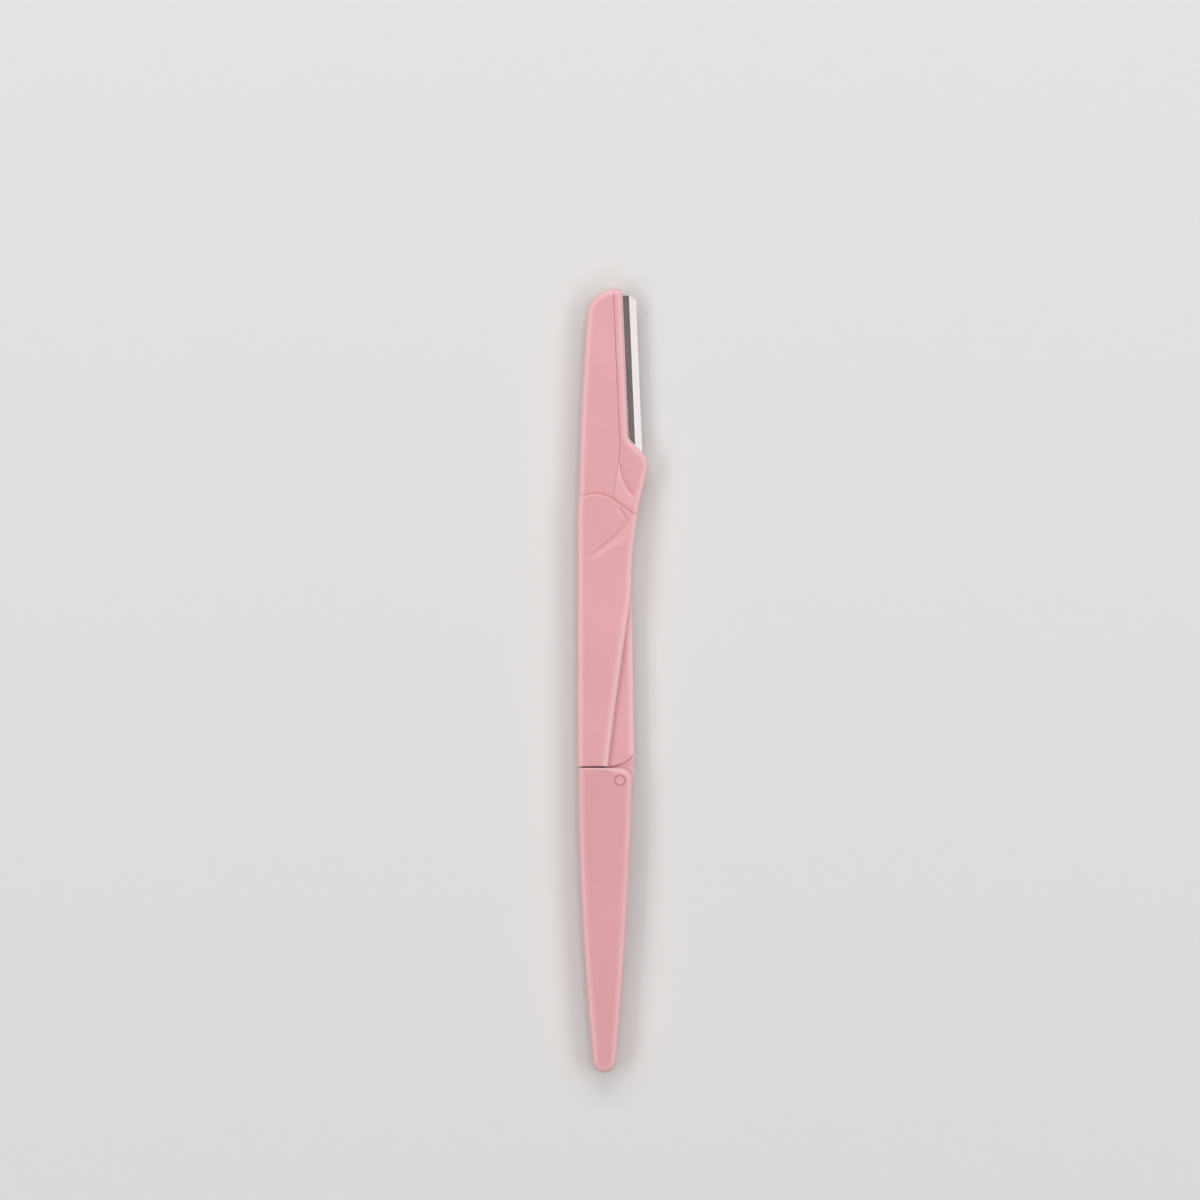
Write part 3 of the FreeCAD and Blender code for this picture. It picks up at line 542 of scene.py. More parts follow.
strip_levels = np.concatenate([
    np.arange(SEAM_LOW[1], STOP_LEVEL, STOP_STEP),
    np.arange(STOP_LEVEL, STRIP_LEVEL, STRIP_STEP),
    np.linspace(STRIP_LEVEL, SEAM_TOP[1] - STOP_RIM[0], 8),
    rim_end(SEAM_TOP[1], STOP_RIM[0]),
])
slant_fade = (1 - eased((strip_levels - SEAM_LOW[1]) / SLANT_FADE))[:, None]
strip_y = strip_levels[:, None] - (SEAM_LOW[1] - THROAT[1]) * strip_columns * slant_fade
seam_x = across(SEAM, strip_y) + STRIP_GAP
strip_x = (1 - strip_columns) * seam_x + strip_columns * across(STOP_CONTOUR, strip_y)
slanted_x = SEAM_LOW[0] + STRIP_GAP + strip_columns * (THROAT[0] - SEAM_LOW[0] - STRIP_GAP)
shift_fade = (1 - eased((strip_levels - SEAM_LOW[1]) / SLANT_SHIFT_FADE))[:, None]
strip_x = strip_x + shift_fade * (slanted_x - strip_x[0])
strip_plan = np.stack([strip_x, strip_y], -1)
print("strip plan", strip_plan.shape, "reaches x", strip_x.max().round(2))

# %% Heights of the strip and the stop
STOP_SINK = 0.3
STOP_SINK_RUN = 0.95
to_contour = beside(strip_plan, STOP_CONTOUR)[0]
to_tip = SEAM_TOP[1] - strip_plan[..., 1]
hollow_depth, to_petal = crescent_relief(strip_plan)
strip_drop = np.maximum.reduce([
    rim_drop(to_contour, *STOP_RIM),
    rim_drop(to_tip, *STOP_RIM),
    seam_drop(beside(strip_plan, SEAM + [STRIP_GAP, 0])[0], strip_y),
    STOP_SINK * np.clip(1 - np.abs(beside(strip_plan, GRIP_TOP)[0]) / STOP_SINK_RUN, 0, 1),
    hollow_depth,
])
strip_rims = np.minimum.reduce([np.abs(to_contour), to_tip, to_petal])
strip_face = face_grid(strip_plan, PANEL_HEIGHT - strip_drop, strip_rims)
print("strip grid", strip_face.shape, "hollow", hollow_depth.max().round(2), "mm deep")

# %% [markdown]
# ## The core: web, tongue and tang
# Beside the grip the core is a thin web that the folded handle straddles. It ends in a round tang about
# the pin, and a tongue runs on between the scales. All of them could be one extruded outline, but its
# rims would have one width. Two closed plates, each a grid with its own rims, are simpler to shape and
# are joined afterwards.

# %% Web and tongue
WEB_HALF = 1.2
WEB_EDGE_RUN = 1.1
WEB_RIM_SHARE = 0.12
WEB_LOW_SHARE = 0.01
WEB_LOW_RIM = (0.5, 0.35)
WALL_FILLET = 0.045
WALL_FILLET_RUN = 0.5
EDGE_FALL_HEIGHTS = (5.8, 10, 33, 39, 56, 58)
EDGE_FALLS = (0.35, 0.45, 0.45, 0.2, 0.2, 0.0)
TONGUE_LEFT = -5.3
TONGUE_TIP = 102.3
STRIP_WIDTH = 1.93
WEB_TOE = (-1.2, HINGE_LINE)
WEB_ROUND = arc_points(WEB_TOE, (0.925, 3.644), HEEL, 21)
WEB_LOW = joined([(TONGUE_LEFT, HINGE_LINE), WEB_TOE], WEB_ROUND)
STRIP_MIDDLE = [
    (SEAM_KNEE[0] + STRIP_WIDTH / 2, SEAM_KNEE[1]),
    (SEAM_TOP[0] + STRIP_WIDTH / 2, TONGUE_TIP),
]
WEB_EDGE = joined(FRONT_EDGE, [FRONT_EDGE[-1]] + STRIP_MIDDLE)


def closed_plate(name, face, crease=CREASE_ANGLE):
    """A plate that is the same on both faces: the face, its mirror image and a wall along the four
    borders."""
    borders = (face[0], face[-1], face[:, 0], face[:, -1])
    walls = [side_wall(edge, -edge[:, 2], foot=1.0) for edge in borders]
    return weld_grids(name, [face, mirrored(face)] + walls, crease)


web_rows = np.concatenate([np.linspace(0, WEB_LOW_SHARE, 8), np.linspace(WEB_LOW_SHARE, 1, 130)[1:]])
web_columns = np.concatenate([np.linspace(0, 1 - WEB_RIM_SHARE, 40), rim_end(1, WEB_RIM_SHARE)])
web_left_y = HINGE_LINE + web_rows * (TONGUE_TIP - HINGE_LINE)
web_left_x = np.interp(web_left_y, [SEAT_BEND, TONGUE_TIP], [TONGUE_LEFT, TONGUE_LEFT + CORE_LEAN])
web_left = np.stack([web_left_x, web_left_y], -1)
web_right_y = HEEL[1] + web_rows * (TONGUE_TIP - HEEL[1])
web_right = np.stack([across(WEB_EDGE, web_right_y), web_right_y], -1)
web_low_x = TONGUE_LEFT + web_columns * (HEEL[0] - TONGUE_LEFT)
web_bottom = np.stack([web_low_x, np.interp(web_low_x, WEB_LOW[:, 0], WEB_LOW[:, 1])], -1)
web_top = (1 - web_columns)[:, None] * web_left[-1] + web_columns[:, None] * web_right[-1]
web_plan = border_patch(web_bottom, web_top, web_left, web_right, web_columns, web_rows)
to_edge = beside(web_plan, WEB_EDGE)[0]
edge_fall = np.interp(web_plan[..., 1], EDGE_FALL_HEIGHTS, EDGE_FALLS)
low_fall = rim_drop(beside(web_plan, WEB_ROUND)[0], *WEB_LOW_RIM)
web_drop = np.maximum(rim_drop(to_edge, WEB_EDGE_RUN, edge_fall), low_fall)
wall_nearness = np.clip(1 - np.abs(beside(web_plan, RECESS_WALL)[0]) / WALL_FILLET_RUN, 0, 1)
web_height = WEB_HALF - web_drop + WALL_FILLET * wall_nearness ** 2
web_plate = closed_plate("web_plate", face_grid(web_plan, web_height, to_edge))

# %% Tang
TANG_HALF = 0.8
TANG_RADIUS = 3.05
TANG_RIM = (0.3, 0.25)
TANG_RIM_SHARE = 0.2
tang_turn = np.radians(np.linspace(0, 90, 40))
tang_y = np.concatenate([-TANG_RADIUS * np.cos(tang_turn), np.linspace(0, HEEL[1], 14)[1:]])
tang_reach = np.sqrt(np.clip(TANG_RADIUS ** 2 - np.minimum(tang_y, 0) ** 2, 0, None))
tang_edge = TANG_RIM_SHARE * RIM_SHARES
tang_middle = np.linspace(TANG_RIM_SHARE - 1, 1 - TANG_RIM_SHARE, 20)[1:-1]
tang_shares = np.concatenate([-1 + tang_edge, tang_middle, 1 - tang_edge[::-1]])
tang_plan = level_rows(tang_reach[:, None] * tang_shares, tang_y)
tang_inward = TANG_RADIUS - np.hypot(tang_plan[..., 0], np.minimum(tang_plan[..., 1], 0))
tang_height = TANG_HALF - rim_drop(tang_inward, *TANG_RIM)
tang_plate = closed_plate("tang_plate", face_grid(tang_plan, tang_height, tang_inward))

# %% [markdown]
# ## The pin and other turned shapes
# The pin is a short plastic rod whose ends are a little dished inside a rounded rim. A bevelled
# cylinder would have flat ends. A profile carried once round the axis gives the dish and the rim
# together, and the same function makes the boss that keeps the tang in the middle of the handle, and
# the tool that cuts its bore.

# %% Pin, boss and bore
TURN_STEPS = 72
PIN_RADII = np.array([0, 0.35, 0.6, 0.72, 0.82, 0.9, 0.94, 0.95])
PIN_HEIGHTS = np.array([2.44, 2.45, 2.48, 2.5, 2.48, 2.42, 2.34, 2.25])
BORE_RADIUS = 1.0
BORE_REACH = 3.0
BOSS_RADIUS = 1.9


def turned(name, radii, heights):
    """A turned piece: each radius and height of the profile is carried once round the pin's axis."""
    angles = np.linspace(0, 2 * np.pi, TURN_STEPS + 1)
    ring = np.stack([np.cos(angles), np.sin(angles)], -1)
    plan = radii[:, None, None] * ring[None]
    return weld_grids(name, [face_grid(plan, heights[:, None], RIM_FADE)])


def drum(name, radius, half):
    """A plain drum: a flat end, a straight wall and the other end, as one profile."""
    return turned(name, np.array([0, radius, radius, 0]), np.array([half, half, -half, -half]))


tang_boss = drum("tang_boss", BOSS_RADIUS, WEB_HALF)
bore_cutter = drum("bore_cutter", BORE_RADIUS, BORE_REACH)
pin_radii, pin_heights = np.r_[PIN_RADII, PIN_RADII[::-1]], np.r_[PIN_HEIGHTS, -PIN_HEIGHTS[::-1]]
pin_skin = turned("pivot_pin_skin", pin_radii, pin_heights)

# %% [markdown]
# ## Joining the core
# On the real razor the core is one moulding. Its plates cross each other where no single grid could
# follow, so exact Booleans join them and cut the blade's slot and the pin's bore. A voxel remesh would
# also join them, but it would blunt every rim. The slot is cut early, because a cut made after the bore
# left some of its faces open.

# %% Helpers to join the core
SLOT_HALF = 0.17
SLOT_BACK = -1.42
SLOT_FRONT = 4.76
SLOT_ENDS = np.array([67.05, 102.03])


def strip_line(heights):
    """The straight run of the seam, continued: it leans from the knee towards the top."""
    return SEAM_TOP[0] * (heights - SEAM_KNEE[1]) / (SEAM_TOP[1] - SEAM_KNEE[1])


def combine(piece, other, operation):
    """Joins a piece with another closed skin, or cuts it by one, and removes the other."""
    step = piece.modifiers.new("combine", "BOOLEAN")
    step.operation = operation
    step.solver = "EXACT"
    step.object = other
    result = bpy.data.meshes.new_from_object(piece.evaluated_get(bpy.context.evaluated_depsgraph_get()))
    piece.modifiers.clear()
    piece.data = result
    bpy.data.objects.remove(other)


def core_rims(mesh):
    """Rim share of the joined core, measured again because a Boolean leaves its points in a new order:
    the least distance of a point from the web's edge, the stop's contour, the tip, the petal and the
    rim of the tang."""
    places = np.empty(len(mesh.vertices) * 3, np.float32)
    mesh.vertices.foreach_get("co", places)
    plan = ((places.reshape(-1, 3) - HINGE) / MILLIMETRE)[:, :2]
    x, y = plan.T
    to_tang = np.where(y < HINGE_LINE, TANG_RADIUS - np.hypot(x, np.minimum(y, 0)), RIM_FADE)
    nearest = np.minimum.reduce([
        np.abs(beside(plan, FRONT_EDGE)[0]),
        np.abs(beside(plan, STOP_CONTOUR)[0]),
        np.abs(SEAM_TOP[1] - y),
        crescent_relief(plan)[1],
        np.abs(to_tang),
    ])
    rims = face_grid(plan, 0.0, nearest)[:, 3]
    mesh.attributes[PAINTED_HIGHLIGHT_AND_BEVEL_ATTRIBUTE].data.foreach_set("value", rims.astype(np.float32))


print("slot leans from x", strip_line(SLOT_ENDS).round(2))

# %% Join the core and cut its slot
slot_x = strip_line(SLOT_ENDS)[:, None] + np.array([SLOT_BACK, SLOT_FRONT])
slot_plan = level_rows(slot_x, SLOT_ENDS)
slot_cutter = closed_plate("slot_cutter", face_grid(slot_plan, SLOT_HALF, RIM_FADE))
core_skin = closed_plate("arm_core_skin", strip_face)
combine(core_skin, web_plate, "UNION")
combine(core_skin, slot_cutter, "DIFFERENCE")
combine(core_skin, tang_plate, "UNION")
combine(core_skin, tang_boss, "UNION")
combine(core_skin, bore_cutter, "DIFFERENCE")
weld_skin(core_skin.data)
core_rims(core_skin.data)
finish_skin(core_skin.data, "arm_core_skin", CREASE_ANGLE)

# %% [markdown]
# ## The blade
# The blade is a steel strip, ground on both sides to a thin edge and clipped at its outer corner. A
# thin box with one edge scaled down would do from afar. As a grid, its thickness is constant up to the
# grind line and then falls in a straight line to the edge, so a handful of columns is enough and the
# bevel stays sharp.

# %% Blade
BLADE_HALF = 0.15
EDGE_HALF = 0.02
BLADE_FOOT = 67.1
BLADE_TOP = 102.0
GRIND_LINE = 3.26
BLADE_EDGE = 4.7
GRIND_CREASE = np.radians(2)
CLIP_RUN = 1.45
CLIP_FALL = 1.0
FLAT_COLUMNS = (-1.37, -0.6, 0.2, 1.0, 1.93, 2.6)
BEVEL_COLUMNS = (3.31, 3.6, 4.0, 4.35)
blade_columns = np.array([*FLAT_COLUMNS, GRIND_LINE, *BEVEL_COLUMNS, BLADE_EDGE])
blade_rows = np.linspace(0, 1, 60)[:, None]
blade_tops = BLADE_TOP - CLIP_FALL * np.clip((blade_columns - BLADE_EDGE + CLIP_RUN) / CLIP_RUN, 0, 1)
blade_y = BLADE_FOOT + blade_rows * (blade_tops - BLADE_FOOT)
blade_plan = np.stack([strip_line(blade_y) + blade_columns, blade_y], -1)
blade_height = np.interp(blade_columns, [GRIND_LINE, BLADE_EDGE], [BLADE_HALF, EDGE_HALF])
to_grind = np.where(blade_columns > GRIND_LINE, 0.0, RIM_FADE)
blade_skin = closed_plate("blade_skin", face_grid(blade_plan, blade_height, to_grind), GRIND_CREASE)

# %% [markdown]
# ## The handle
# The handle is a hollow tail of two halves with a cheek on each side of the tang. Its face is rounded
# over all round. A subdivided box could give the softness, but would pull the pin's hole out of round.
# Here the grid runs in rings about the pin, so that the hole and the fine sunk ring stay round, and the
# rest is ruled from the back edge to the front edge down to the round tail.

# %% Outline of the handle
HANDLE_TOP = 2.7
CHEEK_RADIUS = 2.7
CHEEK_LEFT = -2.7
TAIL_LINE = -58.8
TAIL_RADIUS = 2.5
TAIL_CENTRE = -3.2
TAIL_FRONT = (TAIL_CENTRE + TAIL_RADIUS, TAIL_LINE)
TAIL_BACK = (TAIL_CENTRE - TAIL_RADIUS, TAIL_LINE)
HANDLE_FRONT_RUN = arc_points((CHEEK_RADIUS, 0), (1.45, -29.4), TAIL_FRONT)
HANDLE_BACK_RUN = arc_points(TAIL_BACK, (-7.985, -28.05), (-8.83, HANDLE_TOP))
cheek_middle = CHEEK_RADIUS * np.sqrt(0.5)
CHEEK_ROUND = arc_points((0, HANDLE_TOP), (cheek_middle, cheek_middle), (CHEEK_RADIUS, 0), 25)
TAIL_ROUND = arc_points(TAIL_FRONT, (TAIL_CENTRE, TAIL_LINE - TAIL_RADIUS), TAIL_BACK)
HANDLE_SIDES = joined(CHEEK_ROUND, HANDLE_FRONT_RUN, TAIL_ROUND, HANDLE_BACK_RUN)


def tail_reach(heights):
    """Half width of the round tail: the circle's half width below its centre line, its full radius
    above."""
    return np.sqrt(np.clip(TAIL_RADIUS ** 2 - np.minimum(heights - TAIL_LINE, 0) ** 2, 0, None))


def handle_front_x(heights):
    """The front edge: the long arc, and the round tail below its end."""
    arc = across(HANDLE_FRONT_RUN[::-1], heights)
    return np.where(heights < TAIL_LINE, TAIL_CENTRE + tail_reach(heights), arc)


def handle_back_x(heights):
    """The back edge: the long arc, and the round tail below its end."""
    arc = across(HANDLE_BACK_RUN, heights)
    return np.where(heights < TAIL_LINE, TAIL_CENTRE - tail_reach(heights), arc)


print("handle outline", len(HANDLE_SIDES), "points, tail at", HANDLE_SIDES[:, 1].min().round(2))

# %% Heights of a handle half
SLOT_FLOOR = 1.3
SLOT_END = -43.08
SLOT_WALL = np.array([(0.939, SLOT_END), (-3.337, -0.292), (-3.337, 2.8)])
SLOT_SLOPE = 0.3
HANDLE_RIM = (1.4, 0.95)
TOP_RIM = (0.45, 0.3)
TOP_RIM_LEFT = -3.0


def slot_height(plan):
    """Underside of a handle half: near the mid-plane, and up a short slope to the slot's floor on its
    right."""
    x, y = plan[..., 0], plan[..., 1]
    right = np.clip((x - across(SLOT_WALL, y)) / SLOT_SLOPE + 1, 0, 1)
    above = np.clip((y - SLOT_END) / SLOT_SLOPE + 1, 0, 1)
    return between(PARTING_HALF, SLOT_FLOOR, right * above)


def handle_pair(plan):
    """Face and underside grids over one plan: the face drops in a quarter ellipse towards the handle's
    sides, and in a smaller one towards its straight top, which widens into the round cheek."""
    x, y = plan[..., 0], plan[..., 1]
    to_sides = np.abs(beside(plan, HANDLE_SIDES)[0])
    top_width = np.interp(x, [TOP_RIM_LEFT, 0], [TOP_RIM[0], HANDLE_RIM[0]])
    top_height = np.interp(x, [TOP_RIM_LEFT, 0], [TOP_RIM[1], HANDLE_RIM[1]])
    to_top = HANDLE_TOP - y
    drop = np.maximum(rim_drop(to_sides, *HANDLE_RIM), rim_drop(to_top, top_width, top_height))
    face = face_grid(plan, FACE_HEIGHT - drop, np.minimum(to_sides, to_top * HANDLE_RIM[0] / top_width))
    return face, face_grid(plan, slot_height(plan), RIM_FADE)


print("slot floor", SLOT_FLOOR, "mm and face", FACE_HEIGHT, "mm from the mid-plane")

# %% Tail of a handle half
TAIL_RIM_SHARE = 0.16
cheek_low = -CHEEK_RADIUS
low_back, low_front = handle_back_x(np.array(cheek_low)), handle_front_x(np.array(cheek_low))
split_share = (CHEEK_LEFT - low_back) / (low_front - low_back)
tail_columns = np.concatenate([
    TAIL_RIM_SHARE * RIM_SHARES,
    np.linspace(TAIL_RIM_SHARE, split_share, 16)[1:],
    np.linspace(split_share, 1 - TAIL_RIM_SHARE, 14)[1:],
    rim_end(1, TAIL_RIM_SHARE),
])
split_column = np.count_nonzero(tail_columns < split_share - NEARLY_NONE)
tail_y = np.concatenate([
    np.linspace(cheek_low, SLOT_END, 82),
    np.linspace(SLOT_END - SLOT_SLOPE, TAIL_LINE, 32),
    TAIL_LINE - TAIL_RADIUS * closing(28),
])
tail_back, tail_front = handle_back_x(tail_y)[:, None], handle_front_x(tail_y)[:, None]
tail_x = (1 - tail_columns) * tail_back + tail_columns * tail_front
tail_plan = level_rows(tail_x, tail_y)
print("tail plan", tail_plan.shape, "cheek starts at column", split_column)

# %% Block and cheek of a handle half
PIN_HOLE = 0.96
PIN_RING = 1.25
RING_DEPTH = 0.25
RING_CHAMFER = 0.06
CHEEK_FLAT_SHARE = 0.28
block_y = np.concatenate([
    np.linspace(cheek_low, HANDLE_TOP - HANDLE_RIM[0], 12),
    rim_end(HANDLE_TOP, HANDLE_RIM[0]),
])
block_shares = tail_columns[:split_column + 1] / split_share
block_x = (1 - block_shares) * handle_back_x(block_y)[:, None] + block_shares * CHEEK_LEFT
block_plan = level_rows(block_x, block_y)
cheek_side_y = np.linspace(0, cheek_low, 9)
cheek_side = np.stack([handle_front_x(cheek_side_y), cheek_side_y], -1)
cheek_top_x = np.linspace(CHEEK_LEFT, 0, 15)
cheek_top = np.stack([cheek_top_x, np.full(len(cheek_top_x), HANDLE_TOP)], -1)
cheek_rim = joined(cheek_top, CHEEK_ROUND, cheek_side)
cheek_loop = joined(block_plan[:, -1], cheek_rim, tail_plan[0, split_column:][::-1])
cheek_spokes = cheek_loop / np.linalg.norm(cheek_loop, axis=1, keepdims=True)
ring_lip = PIN_RING + RING_CHAMFER
ring_shares = np.concatenate([np.linspace(0, CHEEK_FLAT_SHARE, 4), rim_end(1, 1 - CHEEK_FLAT_SHARE)])
ring_shares = ring_shares[:, None, None]
cheek_plan = (1 - ring_shares) * ring_lip * cheek_spokes + ring_shares * cheek_loop
print("block plan", block_plan.shape, "cheek plan", cheek_plan.shape)


# %% Close the handle halves
def handle_grids():
    """Grids of the front half: faces and undersides of the tail, the block beside the cheek and the
    cheek, the sunk ring and hole about the pin, and a wall along the outline."""
    tail_face, tail_under = handle_pair(tail_plan)
    block_face, block_under = handle_pair(block_plan)
    cheek_face, cheek_under = handle_pair(cheek_plan)
    floor_depth = FACE_HEIGHT - SLOT_FLOOR
    ring_radii = np.array([ring_lip, PIN_RING, PIN_RING, PIN_HOLE, PIN_HOLE, ring_lip])
    ring_depths = np.array([0, RING_CHAMFER, RING_DEPTH, RING_DEPTH, floor_depth, floor_depth])
    ring_plan = ring_radii[:, None, None] * cheek_spokes
    ring_grid = face_grid(ring_plan, (FACE_HEIGHT - ring_depths)[:, None], RIM_FADE)
    first_rim = len(block_plan) - 1
    outer = cheek_face[-1, first_rim:first_rim + len(cheek_rim)]
    borders = [outer, block_face[-1], block_face[:, 0], tail_face[:, 0], tail_face[:, -1]]
    walls = [side_wall(edge, slot_height(edge[:, :2])) for edge in borders]
    return [tail_face, tail_under, block_face, block_under, cheek_face, cheek_under, ring_grid] + walls


handle_front_skin = weld_grids("handle_front_skin", handle_grids())
handle_back_skin = weld_grids("handle_back_skin", [mirrored(grid) for grid in handle_grids()])

# %% [markdown]
# ## Satin plastic
# The casing is a pale pink plastic, moulded with a satin grain. One flat colour would look like paint.
# Here a slow noise shifts the tint by a few percent, a fine noise mottles gloss and height, and the rim
# share mixes in a paler pink, a painted highlight along the rounded rims. All of it is made of nodes on
# Object coordinates, so it needs no unwrapping and no image.

# %% Helpers for materials
NOISE_DETAIL = 3.0
# A Mix node has sockets for every kind of value, so these are found by number
MIX_FACTOR = 0
MIX_NUMBERS = (2, 3)
MIX_NUMBER_OUT = 0
MIX_COLOURS = (6, 7)
MIX_COLOUR_OUT = 2


def bare_material(name):
    """A new material, its node tree and its shader, the place of each point and the skin's rim
    share."""
    material = bpy.data.materials.new(name)
    material.use_nodes = True
    tree = material.node_tree
    place = tree.nodes.new("ShaderNodeTexCoord")
    share = tree.nodes.new("ShaderNodeAttribute")
    share.attribute_name = PAINTED_HIGHLIGHT_AND_BEVEL_ATTRIBUTE
    return material, tree, tree.nodes["Principled BSDF"], place.outputs["Object"], share.outputs["Fac"]


def noise_value(tree, place, scale):
    """A value from a noise over the place: the scale is the number of its cells in a metre."""
    noise = tree.nodes.new("ShaderNodeTexNoise")
    noise.inputs["Scale"].default_value = scale
    noise.inputs["Detail"].default_value = NOISE_DETAIL
    tree.links.new(place, noise.inputs["Vector"])
    return noise.outputs["Fac"]


def value_within(tree, value, low, high):
    """A value from 0 to 1, carried over in a straight line to lie from low to high."""
    carried = tree.nodes.new("ShaderNodeMapRange")
    carried.inputs["To Min"].default_value = low
    carried.inputs["To Max"].default_value = high
    tree.links.new(value, carried.inputs["Value"])
    return carried.outputs["Result"]


def ramp_colour(tree, value, places, colours):
    """A colour ramp with two stops: even from the first colour to the last between their places."""
    ramp = tree.nodes.new("ShaderNodeValToRGB")
    for stop, place, colour in zip(ramp.color_ramp.elements, places, colours):
        stop.position = place
        stop.color = (*colour, 1)
    tree.links.new(value, ramp.inputs["Fac"])
    return ramp.outputs["Color"]


def add_bump(tree, value, shader, strength, distance):
    """A shallow relief: the value times the distance is a height, which tilts the shader's normal."""
    bump = tree.nodes.new("ShaderNodeBump")
    bump.inputs["Strength"].default_value = strength
    bump.inputs["Distance"].default_value = distance
    tree.links.new(value, bump.inputs["Height"])
    tree.links.new(bump.outputs["Normal"], shader.inputs["Normal"])


print("noise detail", NOISE_DETAIL)

# %% Pink plastics
GRAIN_SCALE = 2600
MOTTLE_SCALE = 420
TINT_SCALE = 70
TINT_PLACES = (0.3, 0.7)
PAINTED_HIGHLIGHT_STRENGTH = 0.8
PLASTIC_ROUGHNESS = (0.34, 0.48)
GRAIN_STRENGTH, GRAIN_HEIGHT = 0.25, 0.00003
PLASTIC_SPECULAR = 0.7
SUBSURFACE_WEIGHT = 0.12
SUBSURFACE_RADII = (0.0012, 0.0006, 0.0005)
# Paler pinks that the rim share mixes in: painted highlights along the rims
CASING_HIGHLIGHT_PINK = (0.82, 0.49, 0.51)
HANDLE_HIGHLIGHT_PINK = (0.80, 0.47, 0.49)


def pink_plastic(name, deep, pale, rim):
    """Satin plastic: tint between two pinks by a slow noise, a painted highlight that is paler by the
    rim share, and grain in gloss and height."""
    material, tree, shader, place, share = bare_material(name)
    tint = ramp_colour(tree, noise_value(tree, place, TINT_SCALE), TINT_PLACES, (deep, pale))
    painted_highlight_mix = tree.nodes.new("ShaderNodeMix")
    painted_highlight_mix.data_type = "RGBA"
    painted_highlight_mix.inputs[MIX_COLOURS[1]].default_value = (*rim, 1)
    tree.links.new(value_within(tree, share, 0.0, PAINTED_HIGHLIGHT_STRENGTH), painted_highlight_mix.inputs[MIX_FACTOR])
    tree.links.new(tint, painted_highlight_mix.inputs[MIX_COLOURS[0]])
    tree.links.new(painted_highlight_mix.outputs[MIX_COLOUR_OUT], shader.inputs["Base Color"])
    roughness = value_within(tree, noise_value(tree, place, MOTTLE_SCALE), *PLASTIC_ROUGHNESS)
    tree.links.new(roughness, shader.inputs["Roughness"])
    add_bump(tree, noise_value(tree, place, GRAIN_SCALE), shader, GRAIN_STRENGTH, GRAIN_HEIGHT)
    shader.inputs["Specular IOR Level"].default_value = PLASTIC_SPECULAR
    shader.inputs["Subsurface Weight"].default_value = SUBSURFACE_WEIGHT
    shader.inputs["Subsurface Radius"].default_value = SUBSURFACE_RADII
    return material


scale_pink = pink_plastic("scale_pink", (0.71, 0.345, 0.372), (0.745, 0.372, 0.40), CASING_HIGHLIGHT_PINK)
core_pink = pink_plastic("core_pink", (0.70, 0.338, 0.366), (0.735, 0.365, 0.394), CASING_HIGHLIGHT_PINK)
handle_pink = pink_plastic("handle_pink", (0.675, 0.32, 0.348), (0.715, 0.345, 0.375), HANDLE_HIGHLIGHT_PINK)
# The pin's pink is paler than the handle's: painted light that offsets the shade in its dished end
pin_pink = pink_plastic("pin_pink", (0.70, 0.335, 0.362), (0.74, 0.36, 0.39), HANDLE_HIGHLIGHT_PINK)
print("plastics", scale_pink.name, core_pink.name, handle_pink.name, pin_pink.name)

# %% [markdown]
# ## Ground steel
# The flat of the blade is finished along its length, and the bevel is ground across. A plain metal would
# look like a mirror. Both finishes are streaks, a noise that is stretched in one direction, and the rim
# share is 1 on the bevel, so it chooses between the two. The flat's darker, pinkish tone is a painted
# reflection of a dim pink surround.

# %% Blade steel
FLAT_STRETCH = (6000.0, 90.0, 6000.0)
# The flat's share of the tones: the darker, pinker end, a painted reflection
FLAT_PAINTED_REFLECTION_TONES = (0.0, 0.7)
BEVEL_STRETCH = (400.0, 9000.0, 400.0)
BEVEL_TONES = (0.8, 1.0)
# Dark pinkish steel, a painted reflection of a dim pink surround, to plain pale steel
STEEL_TONES = ((0.45, 0.345, 0.365), (0.76, 0.71, 0.695))
STEEL_ROUGHNESS = (0.16, 0.30)
STREAK_STRENGTH, STREAK_HEIGHT = 0.08, 0.00001


def ground_steel(name):
    """Steel: streaks along the flat, and finer, brighter ones across the bevel, which steer the tone,
    the gloss and a very shallow height. The flat's darker, pinkish tone is a painted reflection."""
    material, tree, shader, place, share = bare_material(name)
    choose = tree.nodes.new("ShaderNodeMix")
    tree.links.new(share, choose.inputs[MIX_FACTOR])
    finishes = ((FLAT_STRETCH, FLAT_PAINTED_REFLECTION_TONES), (BEVEL_STRETCH, BEVEL_TONES))
    for (stretch, tones), socket in zip(finishes, MIX_NUMBERS):
        stretched = tree.nodes.new("ShaderNodeMapping")
        stretched.inputs["Scale"].default_value = stretch
        tree.links.new(place, stretched.inputs["Vector"])
        streaks = noise_value(tree, stretched.outputs["Vector"], 1.0)
        tree.links.new(value_within(tree, streaks, *tones), choose.inputs[socket])
    tone = choose.outputs[MIX_NUMBER_OUT]
    tree.links.new(ramp_colour(tree, tone, (0.0, 1.0), STEEL_TONES), shader.inputs["Base Color"])
    tree.links.new(value_within(tree, tone, *STEEL_ROUGHNESS), shader.inputs["Roughness"])
    add_bump(tree, tone, shader, STREAK_STRENGTH, STREAK_HEIGHT)
    shader.inputs["Metallic"].default_value = 1.0
    return material


blade_steel = ground_steel("ground_blade_steel")
print("steel", blade_steel.name)

# %% [markdown]
# ## Bodies, solids and finishes
# Each skin rides on its body, stands for one imported solid and takes its material. The table also
# lists a finish name for each, which nothing reads. One table keeps these together, so a piece can't be
# left out of one of them.

